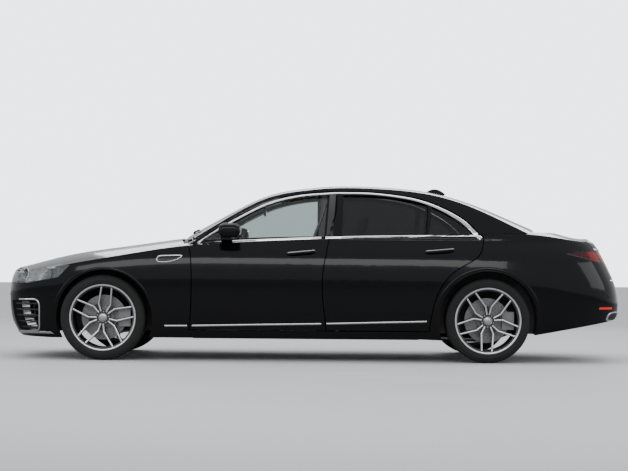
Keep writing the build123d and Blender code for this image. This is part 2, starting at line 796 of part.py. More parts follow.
def rim_solid(width, turn):
    """Five forked double spokes between hub and barrel; turn is the way that one fork points."""
    edge = width / 2
    with BuildPart(mode=Mode.PRIVATE) as rim:
        with BuildSketch():
            Circle(hub_radius)
            with BuildSketch(mode=Mode.PRIVATE) as fork:
                with BuildLine():
                    for side in (-1, 1):
                        Polyline((44, 8 * side), (117, 24 * side), (233, 117 * side))
                    Line((114, -24), (114, 24))
                trace(line_width=spoke_width)
            for step in range(fork_count):
                add(fork.sketch, rotation=turn + step * 360 / fork_count)
        extrude(amount=200)
        with BuildPart(mode=Mode.PRIVATE) as band:
            with BuildSketch(Plane.XZ):
                with BuildLine():
                    Polyline((0, 40), (0, edge - 32), (60, edge - 30), (110, edge - 28),
                             (barrel_radius + 2, edge - 12), (barrel_radius + 2, edge - 48),
                             (130, edge - 76), (70, 40), close=True)
                make_face()
            revolve(axis=Axis.Z)
        add(band.part, mode=Mode.INTERSECT)
        with BuildSketch(Plane.XZ):
            with BuildLine():
                Polyline((barrel_radius, 4 - edge), (rim_radius, 4 - edge), (rim_radius, 14 - edge),
                         (bead_radius, 14 - edge), (bead_radius, edge - 14), (rim_radius, edge - 14),
                         (rim_radius, edge - 4), (rim_radius - 10, edge - 4), (barrel_radius, edge - 14),
                         close=True)
            make_face()
        revolve(axis=Axis.Z)
        with BuildSketch(Plane.XY.offset(30)):
            Circle(spindle_radius + fit)
        extrude(amount=34, mode=Mode.SUBTRACT)
    return rim.part


with BuildPart() as brake_disc:
    with BuildSketch(Plane.XZ):
        with BuildLine():
            Polyline((spindle_radius + fit, 28), (spindle_radius + fit, 40), (84, 40), (84, disc_outer),
                     (disc_radius, disc_outer), (disc_radius, disc_inner), (74, disc_inner), (74, 28),
                     close=True)
        make_face()
    revolve(axis=Axis.Z)


def wheel_plane(x, track, radius, side):
    """Plane of a wheel, its Z pointing out of the car; side is -1 on the left."""
    return Plane(origin=(x, side * track / 2, radius), x_dir=(-side, 0, 0), z_dir=(0, side, 0))


wheel_places = {
    "front_left": (front_axle_x, front_track, front_tyre_radius, front_tyre_width, -1, -97),
    "front_right": (front_axle_x, front_track, front_tyre_radius, front_tyre_width, 1, -97),
    "rear_left": (rear_axle_x, rear_track, rear_tyre_radius, rear_tyre_width, -1, 88),
    "rear_right": (rear_axle_x, rear_track, rear_tyre_radius, rear_tyre_width, 1, 88),
}
for place, (x, track, radius, width, side, turn) in wheel_places.items():
    location = wheel_plane(x, track, radius, side).location
    write(location * tyre_solid(radius, width), "tyre_" + place)
    write(location * rim_solid(width, turn), "rim_" + place)
    write(location * brake_disc.part, "brake_disc_" + place)

# ---------------------------------------------------------------- knuckles, calipers and axles

kingpin_inboard = 75
pin_radius = 8
arm_clearance = 6


def upright(with_pins):
    """Wheel carrier and caliper in the wheel's own frame, Z pointing out of the car."""
    with BuildPart(mode=Mode.PRIVATE) as carrier:
        with BuildSketch(Plane.XY.offset(-105)):
            Rectangle(90, 250)
            with Locations((100, 0)):
                Rectangle(120, 90)
        extrude(amount=60)
        with BuildSketch(Plane.XY.offset(-60)):
            Circle(spindle_radius)
        extrude(amount=122)
        with BuildSketch(Plane.XY.offset(-60)):
            with Locations((176, 0)):
                Rectangle(100, 150)
        extrude(amount=98)
        with BuildSketch(Plane.XY.offset(disc_inner - 8)):
            Circle(disc_radius + 8)
        extrude(amount=disc_outer - disc_inner + 16, mode=Mode.SUBTRACT)
        with BuildSketch(Plane.XY.offset(-60)):
            Circle(spindle_radius)
        extrude(amount=122)
        if with_pins:
            with BuildSketch(Plane.XZ.offset(-160)):
                with Locations((0, -kingpin_inboard)):
                    Circle(pin_radius)
            extrude(amount=320)
    return carrier.part


write_pair(wheel_plane(front_axle_x, front_track, front_tyre_radius, -1).location * upright(True),
           "front_knuckle")
write_both(wheel_plane(rear_axle_x, rear_track, rear_tyre_radius, -1).location * upright(False),
           "rear_knuckles")

arm_y = front_track / 2 - kingpin_inboard
with BuildPart() as front_axle:
    add(slab(front_axle_x - 60, front_axle_x + 60, -460, 460, 190, 250))
    for side in (-1, 1):
        for low in (front_tyre_radius - 125 - arm_clearance - 30, front_tyre_radius + 125 + arm_clearance):
            with BuildSketch(Plane.XY.offset(low)):
                with Locations((front_axle_x, side * (arm_y - 160))):
                    Rectangle(36, 320)
                with Locations((front_axle_x, side * arm_y)):
                    Circle(18)
                with Locations((front_axle_x, side * arm_y)):
                    Circle(pin_radius + fit, mode=Mode.SUBTRACT)
            extrude(amount=30)
        with BuildSketch(Plane.XY.offset(250)):
            with Locations((front_axle_x, side * 430)):
                Rectangle(70, 20)
        extrude(amount=front_tyre_radius + 155 + arm_clearance - 250)
write(front_axle.part, "front_axle")

rear_inner_y = rear_track / 2 - 105
with BuildPart() as rear_axle:
    add(slab(rear_axle_x - 70, rear_axle_x + 70, -420, 420, 230, 330))
    for side in (-1, 1):
        for low in (245, 400):
            with BuildSketch(Plane.XY.offset(low)):
                with Locations((rear_axle_x, side * (rear_inner_y + 380) / 2)):
                    Rectangle(44, rear_inner_y - 380)
            extrude(amount=30)
        with BuildSketch(Plane.XY.offset(330)):
            with Locations((rear_axle_x, side * 395)):
                Rectangle(70, 30)
        extrude(amount=100)
write(rear_axle.part, "rear_axle")

# ---------------------------------------------------------------- floor, firewall and engine

floor_z = 215
floor_thickness = 22
boot_floor_z = 430
firewall_x = door_front_x + 20
firewall_half_width = 725
seat_bulkhead_x = rear_axle_x + 60

with BuildPart() as floor_pan:
    add(profile_prism([
        (front_axle_x + 520, floor_z), (rear_axle_x - 520, floor_z), (rear_axle_x - 440, boot_floor_z),
        (tail_x - 170, boot_floor_z), (tail_x - 170, boot_floor_z + floor_thickness),
        (rear_axle_x - 455, boot_floor_z + floor_thickness),
        (rear_axle_x - 535, floor_z + floor_thickness), (front_axle_x + 520, floor_z + floor_thickness),
    ], -far / 4, far / 4))
    add(lower_form(door_thickness), mode=Mode.INTERSECT)
    for x, radius, inner in ((front_axle_x + 8, 440, front_house_y), (rear_axle_x + 3, 425, rear_house_y)):
        add(both_sides(disc_at(x, 352, radius, -1200, -inner)), mode=Mode.SUBTRACT)
write(floor_pan.part, "floor_pan")

with BuildPart() as engine_bay:
    add(slab(firewall_x - 20, firewall_x, -firewall_half_width, firewall_half_width,
             floor_z + floor_thickness, far))
    for side in (-1, 1):
        add(slab(nose_x + 330, firewall_x - 20, min(side * front_house_y, side * (front_house_y - 10)),
                 max(side * front_house_y, side * (front_house_y - 10)), floor_z + floor_thickness, far))
    add(slab(nose_x + 310, nose_x + 330, -560, 560, 200, 640))
    add(slab(nose_x + 1490, firewall_x - 20, -firewall_half_width, firewall_half_width, 860, far))
    add(lower_form(door_thickness) & deck_form(firewall_drop), mode=Mode.INTERSECT)
    add(slab(front_axle_x - 30, front_axle_x + 30, -far, far, 180, 560), mode=Mode.SUBTRACT)
write(engine_bay.part, "engine_bay")

with BuildPart() as engine_block:
    add(slab(front_axle_x - 180, front_axle_x + 480, -260, 260, 250, 780))
write(engine_block.part, "engine_block")

with BuildPart() as rear_bulkhead:
    add(slab(seat_bulkhead_x, seat_bulkhead_x + 15, -560, 560, boot_floor_z + floor_thickness, 985))
    add(slab(seat_bulkhead_x, lid_pin_x - 25, -560, 560, 985, 1000))
    for side in (-1, 1):
        y = side * (lid_pin_y + 22)
        add(slab(lid_pin_x - 60, lid_pin_x + 14, y - 6, y + 6, 985, lid_pin_z + 14))
        add(disc_at(lid_pin_x, lid_pin_z, lid_pin_radius + fit, y - 7, y + 7), mode=Mode.SUBTRACT)
write(rear_bulkhead.part, "rear_bulkhead")

with BuildPart() as wheel_liners:
    for x, radius, inner in ((front_axle_x + 8, front_arch_radius + 27, front_house_y),
                             (rear_axle_x + 3, rear_arch_radius + 5, rear_house_y)):
        for y_low, y_high in ((-1200, -inner), (inner, 1200)):
            add(disc_at(x, 352, radius + liner_thickness, y_low, y_high)
                - disc_at(x, 352, radius, y_low - 1, y_high + 1))
    for side in (-1, 1):
        wall = sorted((side * rear_house_y, side * (rear_house_y + liner_thickness)))
        add(disc_at(rear_axle_x + 3, 352, rear_arch_radius + liner_thickness, *wall)
            - slab(rear_axle_x - 50, rear_axle_x + 50, -far, far, 0, 450))
    add(body_form(door_thickness, frame_thickness, 75) & slab(-far, far, -far, far, 236, far),
        mode=Mode.INTERSECT)
    add(slab(door_front_x - 60, 0, -far, far, 0, far), mode=Mode.SUBTRACT)
write(wheel_liners.part, "wheel_liners")

pillar_shell = (lower_form(125) + upper_form(95)) - (lower_form(170) + upper_form(140))
with BuildPart() as pillars:
    add(pillar_shell & left_half)
    add(roof_form(skin_thickness), mode=Mode.INTERSECT)
    add(slab(pillar_x - 70, pillar_x + 70, -far, far, floor_z + floor_thickness, far)
        + slab(front_pin_x - 65, front_pin_x + 15, -far, far, floor_z + floor_thickness, 880),
        mode=Mode.INTERSECT)
    add(slab(rear_pin_x - 30, rear_pin_x + 30, -far, -842, door_hinge_levels[0],
             door_hinge_levels[1]), mode=Mode.SUBTRACT)
    add(hinge_brackets(front_pin_x, -835))
    add(hinge_brackets(rear_pin_x, -835))
    mirror(about=Plane.XZ)
write(pillars.part, "pillars")

# ---------------------------------------------------------------- cabin

steering_x = door_front_x + 460
steering_y = -370
steering_z = 870
steering_tilt = 22
steering_radius = 185

column = Plane(origin=(steering_x, steering_y, steering_z), x_dir=(0, 1, 0),
               z_dir=(cos(steering_tilt * pi / 180), 0, sin(steering_tilt * pi / 180)))
with BuildPart() as dashboard:
    add(profile_prism([(firewall_x + 25, 620), (firewall_x + 250, 600), (firewall_x + 330, 760),
                       (firewall_x + 330, 900), (firewall_x + 240, 950), (firewall_x + 25, 960)],
                      -700, 700))
    add(profile_prism([(firewall_x, 700), (firewall_x + 30, 700), (firewall_x + 30, 760),
                       (firewall_x, 760)], -600, 600))
    with BuildSketch(column.offset(-60 - fit)):
        Circle(45)
    extrude(amount=-140)
write(dashboard.part, "dashboard")

with BuildPart() as steering_wheel:
    with BuildSketch(column):
        Circle(steering_radius)
        Circle(steering_radius - 28, mode=Mode.SUBTRACT)
        Rectangle(2 * steering_radius - 20, 34)
        with Locations((0, -steering_radius / 2)):
            Rectangle(34, steering_radius)
        Circle(72)
    extrude(amount=14, both=True)
    with BuildSketch(column.offset(-60)):
        Circle(20)
    extrude(amount=50)
write(steering_wheel.part, "steering_wheel")


def seat(x, y, width, cushion_z, back_top, foot_length):
    """Cushion, backrest and headrest, each a closed solid; x is the front of the cushion."""
    with BuildPart(mode=Mode.PRIVATE) as chair:
        add(profile_prism([(x, cushion_z - 110), (x + 520, cushion_z - 150), (x + 520, cushion_z - 20),
                           (x, cushion_z)], y - width / 2, y + width / 2))
        add(profile_prism([(x + 520 + fit, cushion_z - 130), (x + 655, cushion_z - 130), (x + 800, back_top),
                           (x + 690, back_top), (x + 520 + fit, cushion_z)], y - width / 2, y + width / 2))
        add(profile_prism([(x + 705, back_top + 12), (x + 800, back_top + 12),
                           (x + 825, back_top + 190), (x + 735, back_top + 200)], y - 125, y + 125))
        add(profile_prism([(x + 745, back_top), (x + 757, back_top), (x + 757, back_top + 12),
                           (x + 745, back_top + 12)], y - 60, y + 60))
        add(profile_prism([(x + 60, floor_z + floor_thickness), (x + 60 + foot_length, floor_z + floor_thickness),
                           (x + 60 + foot_length, cushion_z - 110 - 40 * (60 + foot_length) / 520),
                           (x + 60, cushion_z - 110 - 40 * 60 / 520)],
                          y - width / 2 + 40, y + width / 2 - 40))
    return chair.part


front_seat_x = steering_x + 260
rear_seat_x = rear_axle_x - 790
with BuildPart() as front_seats:
    add(seat(front_seat_x, -370, 520, 560, 1050, 400))
    add(seat(front_seat_x, 370, 520, 560, 1050, 400))
write(front_seats.part, "front_seats")

with BuildPart() as rear_seats:
    for y in (-355, 355):
        add(seat(rear_seat_x, y, 560, 620, 985, 180))
write(rear_seats.part, "rear_seats")

with BuildPart() as centre_console:
    add(slab(firewall_x + 335, rear_seat_x - 40, -70, 70, floor_z + floor_thickness, 560))
write(centre_console.part, "centre_console")

# ---------------------------------------------------------------- mirrors, wipers, exhaust, sockets

mirror_x = door_front_x + 331
mirror_length = 154
with BuildPart() as door_mirror:
    with BuildSketch(Plane.XZ.offset(900)):
        with Locations((mirror_x, 1090)):
            RectangleRounded(190, 122, 58)
    extrude(amount=mirror_length)
    fillet(door_mirror.edges().group_by(Axis.Y)[0], 48)
    fillet(door_mirror.edges().group_by(Axis.Y)[-1], 20)
    with BuildSketch(Plane.XZ.offset(800)):
        with Locations((mirror_x - 30, 1028)):
            Rectangle(90, 30)
    extrude(amount=160)
    add(outer, mode=Mode.SUBTRACT)
write_pair(door_mirror.part, "door_mirror")

muffler_radius = 60
pipe_radius = 30
with BuildPart() as exhaust:
    for side in (-1, 1):
        add(disc_x(rear_axle_x + 445, tail_x - 360, side * 500, boot_floor_z - muffler_radius - fit,
                   muffler_radius))
        add(disc_x(front_axle_x + 700, rear_axle_x - 530, side * 120, floor_z - pipe_radius - fit, pipe_radius))
write(exhaust.part, "exhaust")

beam_half_width = 575
beam_depth = 60
front_beam_x = nose_x + 140
rear_beam_x = tail_x - 150
tow_bore_radius = 8
tow_bore_depth = 50
drill_tip = 4.8
tow_mouth = 60
with BuildPart() as bumper_beams:
    for x in (front_beam_x, rear_beam_x - beam_depth):
        add(slab(x, x + beam_depth, -beam_half_width, beam_half_width, tow_z - 40, tow_z + 40))
    add(disc_x(nose_x + tow_mouth, front_beam_x, tow_y, tow_z, tow_radius))
    add(disc_x(rear_beam_x, tail_x - tow_mouth, tow_y, tow_z, tow_radius))
    add(disc_x(nose_x + tow_mouth, nose_x + tow_mouth + tow_bore_depth, tow_y, tow_z,
               tow_bore_radius), mode=Mode.SUBTRACT)
    add(disc_x(tail_x - tow_mouth - tow_bore_depth, tail_x - tow_mouth, tow_y, tow_z,
               tow_bore_radius), mode=Mode.SUBTRACT)
    for mouth_x, inward in ((nose_x + tow_mouth, 1), (tail_x - tow_mouth, -1)):
        tip_x = mouth_x + inward * (tow_bore_depth + drill_tip / 2)
        with Locations(Location((tip_x, tow_y, tow_z), (0, 90 * inward, 0))):
            Cone(tow_bore_radius, 0.5, drill_tip, mode=Mode.SUBTRACT)
write(bumper_beams.part, "bumper_beams")
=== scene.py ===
import math

import bmesh
import bpy
from mathutils import Matrix, Vector
from mathutils.bvhtree import BVHTree


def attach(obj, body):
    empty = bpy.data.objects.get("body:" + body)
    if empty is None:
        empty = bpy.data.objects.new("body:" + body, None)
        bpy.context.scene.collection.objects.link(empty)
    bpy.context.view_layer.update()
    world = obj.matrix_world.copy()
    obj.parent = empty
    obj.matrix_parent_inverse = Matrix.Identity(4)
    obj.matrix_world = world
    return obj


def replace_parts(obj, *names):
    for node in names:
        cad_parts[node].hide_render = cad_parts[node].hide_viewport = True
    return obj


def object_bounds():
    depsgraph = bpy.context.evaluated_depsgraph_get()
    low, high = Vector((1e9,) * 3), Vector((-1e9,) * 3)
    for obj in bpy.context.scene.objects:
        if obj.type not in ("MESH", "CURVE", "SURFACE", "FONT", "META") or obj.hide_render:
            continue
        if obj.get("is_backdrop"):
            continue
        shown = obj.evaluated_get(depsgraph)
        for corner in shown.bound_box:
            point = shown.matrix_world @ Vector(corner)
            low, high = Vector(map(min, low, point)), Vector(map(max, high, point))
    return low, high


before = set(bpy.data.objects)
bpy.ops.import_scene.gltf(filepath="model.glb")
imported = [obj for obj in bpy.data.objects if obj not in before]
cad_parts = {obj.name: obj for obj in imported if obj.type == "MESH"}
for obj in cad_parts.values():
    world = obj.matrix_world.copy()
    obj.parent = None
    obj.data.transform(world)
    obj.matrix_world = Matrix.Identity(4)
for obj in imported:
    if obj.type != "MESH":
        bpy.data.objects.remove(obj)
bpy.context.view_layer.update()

# Metres. The nose points to -x, the left side to -y.
SIDES = ((-1, "left"), (1, "right"))
FRONT_AXLE_X = -1.7645
REAR_AXLE_X = 1.4515
DOOR_FRONT_X = -1.0405
PILLAR_X = 0.095
FLOOR_Z = 0.2405

# Places outside the car, and the ways in which rays go from them.
AHEAD_X = -3.0
BEHIND_X = 3.0
BESIDE_Y = 1.4
ALONG = Vector((1, 0, 0))
ACROSS = Vector((0, 1, 0))
UPWARD = Vector((0, 0, 1))
INTO_NOSE = ALONG
INTO_TAIL = -ALONG

# ---------------------------------------------------------------- shader groups


def shader_group(name, inputs, outputs):
    """An empty shader node group with named sockets."""
    tree = bpy.data.node_groups.new(name, "ShaderNodeTree")
    for label, kind, value in inputs:
        socket = tree.interface.new_socket(label, in_out="INPUT", socket_type=kind)
        socket.default_value = value
    for label, kind in outputs:
        tree.interface.new_socket(label, in_out="OUTPUT", socket_type=kind)
    enter = tree.nodes.new("NodeGroupInput")
    leave = tree.nodes.new("NodeGroupOutput")
    return tree, enter, leave


def mottle_group():
    """A value that drifts softly between Low and High over the surface."""
    tree, enter, leave = shader_group(
        "mottle",
        [("Scale", "NodeSocketFloat", 6.0), ("Low", "NodeSocketFloat", 0.2),
         ("High", "NodeSocketFloat", 0.3)],
        [("Value", "NodeSocketFloat")])
    place = tree.nodes.new("ShaderNodeTexCoord")
    noise = tree.nodes.new("ShaderNodeTexNoise")
    spread = tree.nodes.new("ShaderNodeMapRange")
    tree.links.new(place.outputs["Object"], noise.inputs["Vector"])
    tree.links.new(enter.outputs["Scale"], noise.inputs["Scale"])
    tree.links.new(noise.outputs["Fac"], spread.inputs["Value"])
    spread.inputs["From Min"].default_value = 0.3
    spread.inputs["From Max"].default_value = 0.7
    tree.links.new(enter.outputs["Low"], spread.inputs["To Min"])
    tree.links.new(enter.outputs["High"], spread.inputs["To Max"])
    tree.links.new(spread.outputs["Result"], leave.inputs["Value"])
    return tree


def grain_group():
    """Small pebbled relief, as on leather and moulded plastic."""
    tree, enter, leave = shader_group(
        "grain",
        [("Scale", "NodeSocketFloat", 900.0), ("Depth", "NodeSocketFloat", 0.3)],
        [("Height", "NodeSocketFloat")])
    place = tree.nodes.new("ShaderNodeTexCoord")
    cells = tree.nodes.new("ShaderNodeTexVoronoi")
    times = tree.nodes.new("ShaderNodeMath")
    times.operation = "MULTIPLY"
    tree.links.new(place.outputs["Object"], cells.inputs["Vector"])
    tree.links.new(enter.outputs["Scale"], cells.inputs["Scale"])
    tree.links.new(cells.outputs["Distance"], times.inputs[0])
    tree.links.new(enter.outputs["Depth"], times.inputs[1])
    tree.links.new(times.outputs["Value"], leave.inputs["Height"])
    return tree


def dust_group():
    """Mask of road dust: strongest near the ground, broken up by noise."""
    tree, enter, leave = shader_group(
        "road dust",
        [("Top", "NodeSocketFloat", 0.55), ("Strength", "NodeSocketFloat", 0.1)],
        [("Mask", "NodeSocketFloat")])
    place = tree.nodes.new("ShaderNodeTexCoord")
    split = tree.nodes.new("ShaderNodeSeparateXYZ")
    fall = tree.nodes.new("ShaderNodeMapRange")
    noise = tree.nodes.new("ShaderNodeTexNoise")
    mix = tree.nodes.new("ShaderNodeMath")
    mix.operation = "MULTIPLY"
    scaled = tree.nodes.new("ShaderNodeMath")
    scaled.operation = "MULTIPLY"
    tree.links.new(place.outputs["Object"], split.inputs["Vector"])
    tree.links.new(place.outputs["Object"], noise.inputs["Vector"])
    noise.inputs["Scale"].default_value = 9.0
    tree.links.new(split.outputs["Z"], fall.inputs["Value"])
    fall.inputs["From Min"].default_value = 0.1
    tree.links.new(enter.outputs["Top"], fall.inputs["From Max"])
    fall.inputs["To Min"].default_value = 1.0
    fall.inputs["To Max"].default_value = 0.0
    tree.links.new(fall.outputs["Result"], mix.inputs[0])
    tree.links.new(noise.outputs["Fac"], mix.inputs[1])
    tree.links.new(mix.outputs["Value"], scaled.inputs[0])
    tree.links.new(enter.outputs["Strength"], scaled.inputs[1])
    tree.links.new(scaled.outputs["Value"], leave.inputs["Mask"])
    return tree


MOTTLE = mottle_group()
GRAIN = grain_group()
DUST = dust_group()

# ---------------------------------------------------------------- materials

ROAD_DUST = (0.24, 0.21, 0.17, 1)
GLASS_IOR = 1.45


def finish(name, color, metallic=0.0, rough=(0.3, 0.4), coat=0.0, grain=None, dust=0.0,
           glow=0.0, glow_color=None, mottle_scale=6.0, specular=0.5):
    """A procedural material: drifting roughness, optional grain relief and road dust."""
    material = bpy.data.materials.new(name)
    material.use_nodes = True
    tree = material.node_tree
    shader = tree.nodes["Principled BSDF"]
    shader.inputs["Metallic"].default_value = metallic
    shader.inputs["Coat Weight"].default_value = coat
    shader.inputs["Coat Roughness"].default_value = 0.03
    shader.inputs["Specular IOR Level"].default_value = specular
    mottle = tree.nodes.new("ShaderNodeGroup")
    mottle.node_tree = MOTTLE
    mottle.inputs["Scale"].default_value = mottle_scale
    mottle.inputs["Low"].default_value, mottle.inputs["High"].default_value = rough
    tree.links.new(mottle.outputs["Value"], shader.inputs["Roughness"])
    shader.inputs["Base Color"].default_value = (*color, 1)
    if dust:
        film = tree.nodes.new("ShaderNodeGroup")
        film.node_tree = DUST
        film.inputs["Strength"].default_value = dust
        mix = tree.nodes.new("ShaderNodeMix")
        mix.data_type = "RGBA"
        mix.inputs["A"].default_value = (*color, 1)
        mix.inputs["B"].default_value = ROAD_DUST
        tree.links.new(film.outputs["Mask"], mix.inputs["Factor"])
        tree.links.new(mix.outputs["Result"], shader.inputs["Base Color"])
    if grain:
        relief = tree.nodes.new("ShaderNodeGroup")
        relief.node_tree = GRAIN
        relief.inputs["Scale"].default_value = grain
        bump = tree.nodes.new("ShaderNodeBump")
        bump.inputs["Strength"].default_value = 0.25
        bump.inputs["Distance"].default_value = 0.001
        tree.links.new(relief.outputs["Height"], bump.inputs["Height"])
        tree.links.new(bump.outputs["Normal"], shader.inputs["Normal"])
    # Glow lights the lamps; on the lamp housings and the rear reflectors it is painted light.
    if glow:
        shader.inputs["Emission Color"].default_value = (*(glow_color or color), 1)
        shader.inputs["Emission Strength"].default_value = glow
    return material


def glass(name, color):
    """Clear or tinted glass, all of it let through."""
    material = bpy.data.materials.new(name)
    material.use_nodes = True
    shader = material.node_tree.nodes["Principled BSDF"]
    shader.inputs["Base Color"].default_value = (*color, 1)
    shader.inputs["Metallic"].default_value = 0.0
    shader.inputs["Transmission Weight"].default_value = 1.0
    shader.inputs["Roughness"].default_value = 0.0
    shader.inputs["IOR"].default_value = GLASS_IOR
    return material


PAINT = finish("black_paint", (0.002, 0.002, 0.0025), rough=(0.12, 0.17), coat=0.35, dust=0.012,
               specular=0.12)
GLOSS_BLACK = finish("gloss_black", (0.006, 0.006, 0.006), rough=(0.12, 0.2), coat=0.6)
CHROME = finish("chrome", (0.78, 0.78, 0.78), metallic=1.0, rough=(0.06, 0.12))
SATIN = finish("satin_metal", (0.6, 0.6, 0.61), metallic=1.0, rough=(0.25, 0.34))
MACHINED = finish("machined_metal", (0.86, 0.86, 0.87), metallic=1.0, rough=(0.26, 0.34))
POCKET = finish("rim_pocket", (0.05, 0.05, 0.052), metallic=0.6, rough=(0.3, 0.42), dust=0.1)
RUBBER = finish("tyre_rubber", (0.010, 0.010, 0.010), rough=(0.6, 0.72), grain=500, dust=0.035,
                specular=0.3)
SEAL = finish("seal_rubber", (0.012, 0.012, 0.012), rough=(0.5, 0.6))
PLASTIC = finish("black_plastic", (0.016, 0.016, 0.017), rough=(0.45, 0.6), grain=1200, dust=0.05)
UNDERSIDE = finish("underside", (0.03, 0.03, 0.031), rough=(0.6, 0.8), grain=400, dust=0.35)
IRON = finish("chassis_metal", (0.06, 0.06, 0.06), metallic=0.4, rough=(0.5, 0.7), dust=0.3)
CALIPER = finish("caliper_metal", (0.30, 0.30, 0.31), metallic=0.8, rough=(0.3, 0.45), dust=0.1)
STEEL = finish("disc_steel", (0.26, 0.26, 0.265), metallic=1.0, rough=(0.3, 0.42), mottle_scale=60)
LEATHER = finish("beige_leather", (0.50, 0.43, 0.33), rough=(0.42, 0.55), grain=700)
DARK_LEATHER = finish("black_leather", (0.02, 0.018, 0.017), rough=(0.4, 0.55), grain=700)
CLOTH = finish("headliner_cloth", (0.62, 0.57, 0.48), rough=(0.85, 0.95), grain=1500)
CARPET = finish("carpet", (0.045, 0.042, 0.04), rough=(0.9, 1.0), grain=900)
WOOD = finish("wood_trim", (0.07, 0.035, 0.018), rough=(0.15, 0.25), coat=0.8, mottle_scale=25)
PLATE = finish("plate_blank", (0.75, 0.75, 0.74), rough=(0.35, 0.45))
LAMP_WHITE = finish("lamp_light", (0.8, 0.82, 0.85), rough=(0.2, 0.3), glow=0.35)
# The lamp housings glow faintly: painted light that keeps them light grey behind the lens glass.
LAMP_HOUSING_PAINTED_LIGHT = finish("lamp_housing_painted_light", (0.20, 0.205, 0.21), metallic=0.6, rough=(0.2, 0.35),
                      glow=0.02)
# Red glow: lit light bars behind the tail lenses, and painted light on the rear reflectors, which
# are no lamps.
RED_LAMP_AND_REFLECTOR_GLOW = finish("red_lamp_and_reflector_glow", (0.5, 0.01, 0.01), rough=(0.15, 0.3), glow=0.30,
                      glow_color=(0.8, 0.02, 0.01))
SCREEN = finish("screen", (0.003, 0.004, 0.006), rough=(0.08, 0.12), coat=1.0)
CLEAR = glass("clear_glass", (0.80, 0.88, 0.86))
PRIVACY = glass("privacy_glass", (0.10, 0.11, 0.11))
LENS = glass("lamp_lens", (0.93, 0.95, 0.96))
RED_LENS = glass("red_lens", (0.80, 0.03, 0.03))
MIRROR = finish("mirror_silver", (0.85, 0.86, 0.87), metallic=1.0, rough=(0.02, 0.03))

NODE_FINISH = {
    "body_side": PAINT, "fender": PAINT, "front_bumper": PAINT, "rear_bumper": PAINT,
    "bonnet": PAINT, "boot_lid": PAINT, "roof_panel": PAINT, "front_door": PAINT,
    "rear_door": PAINT, "door_mirror": PAINT, "front_door_glass": CLEAR,
    "rear_door_glass": PRIVACY, "windscreen": CLEAR, "rear_window": PRIVACY,
    "headlamps": LENS, "tail_lamps": RED_LENS, "tail_lamps_lid": RED_LENS,
    "grille": CHROME, "intake_louvres": PLASTIC, "cowl": PLASTIC, "tyre": RUBBER,
    "rim": POCKET, "brake_disc": STEEL, "front_knuckle": CALIPER, "rear_knuckle": CALIPER,
    "front_axle": IRON, "rear_axle": IRON, "floor_pan": UNDERSIDE, "engine_bay": UNDERSIDE,
    "engine_block": IRON, "rear_bulkhead": CARPET, "wheel_liners": UNDERSIDE,
    "pillars": UNDERSIDE, "dashboard": DARK_LEATHER, "steering_wheel": DARK_LEATHER,
    "front_seats": LEATHER, "rear_seats": LEATHER, "centre_console": DARK_LEATHER,
    "exhaust": SATIN, "bumper_beams": IRON,
}


def finish_for(node):
    """The material of a CAD node: its name's longest known beginning decides."""
    known = [name for name in NODE_FINISH if node.startswith(name)]
    return NODE_FINISH[max(known, key=len)]


for node_name, node_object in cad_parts.items():
    node_object.data.materials.clear()
    node_object.data.materials.append(finish_for(node_name))


# ---------------------------------------------------------------- mesh helpers

SHARP_EDGE = math.radians(40)
SMOOTH_ANGLE = math.radians(35)
JOIN_DISTANCE = 1e-5


def steps_between(low, high, count):
    """Evenly spaced values from low to high."""
    return [low + (high - low) * k / count for k in range(count + 1)]


def oval(half_wide, half_tall, count, power=1.0):
    """Points round an oval; a power under 1 squares it off."""
    def squared(value):
        return math.copysign(abs(value) ** power, value)
    turns = [2 * math.pi * k / count for k in range(count)]
    return [(half_wide * squared(math.cos(a)), half_tall * squared(math.sin(a))) for a in turns]


def smooth_path(points, step=0.02):
    """Evenly spaced points on a smooth curve through the given ones."""
    points = [Vector(p) for p in points]
    ends = [points[0] * 2 - points[1]] + points + [points[-1] * 2 - points[-2]]
    fine = []
    for a, b, c, d in zip(ends, ends[1:], ends[2:], ends[3:]):
        parts = max(2, int((c - b).length / step))
        for k in range(parts):
            t = k / parts
            fine.append(0.5 * (2 * b + (c - a) * t + (2 * a - 5 * b + 4 * c - d) * t ** 2
                               + (3 * b - a - 3 * c + d) * t ** 3))
    return fine + [points[-1]]


def neighbours(path):
    """Each point of a path, between the points before and after it."""
    return zip(path[:1] + path[:-1], path, path[1:] + path[-1:])


def linked(name, data):
    """A new object at the scene's origin."""
    obj = bpy.data.objects.new(name, data)
    bpy.context.scene.collection.objects.link(obj)
    return obj


def baked(obj):
    """A copy of an object's mesh with its modifiers applied."""
    bpy.context.view_layer.update()
    graph = bpy.context.evaluated_depsgraph_get()
    return bpy.data.meshes.new_from_object(obj.evaluated_get(graph))


def outward(obj):
    """Turn a piece's faces so that they all point out of it."""
    work = bmesh.new()
    work.from_mesh(obj.data)
    bmesh.ops.recalc_face_normals(work, faces=work.faces)
    work.to_mesh(obj.data)
    work.free()


def placed(name, mesh, body):
    """A piece that rides on a body, with its faces outwards."""
    obj = linked(name, mesh)
    outward(obj)
    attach(obj, body)
    return obj


def bevelled(obj, width):
    """Round a piece's sharp edges."""
    work = bmesh.new()
    work.from_mesh(obj.data)
    sharp = [edge for edge in work.edges
             if len(edge.link_faces) == 2 and edge.calc_face_angle(0) > SHARP_EDGE]
    bmesh.ops.bevel(work, geom=sharp, offset=width, segments=2, affect="EDGES",
                    clamp_overlap=True)
    work.to_mesh(obj.data)
    work.free()


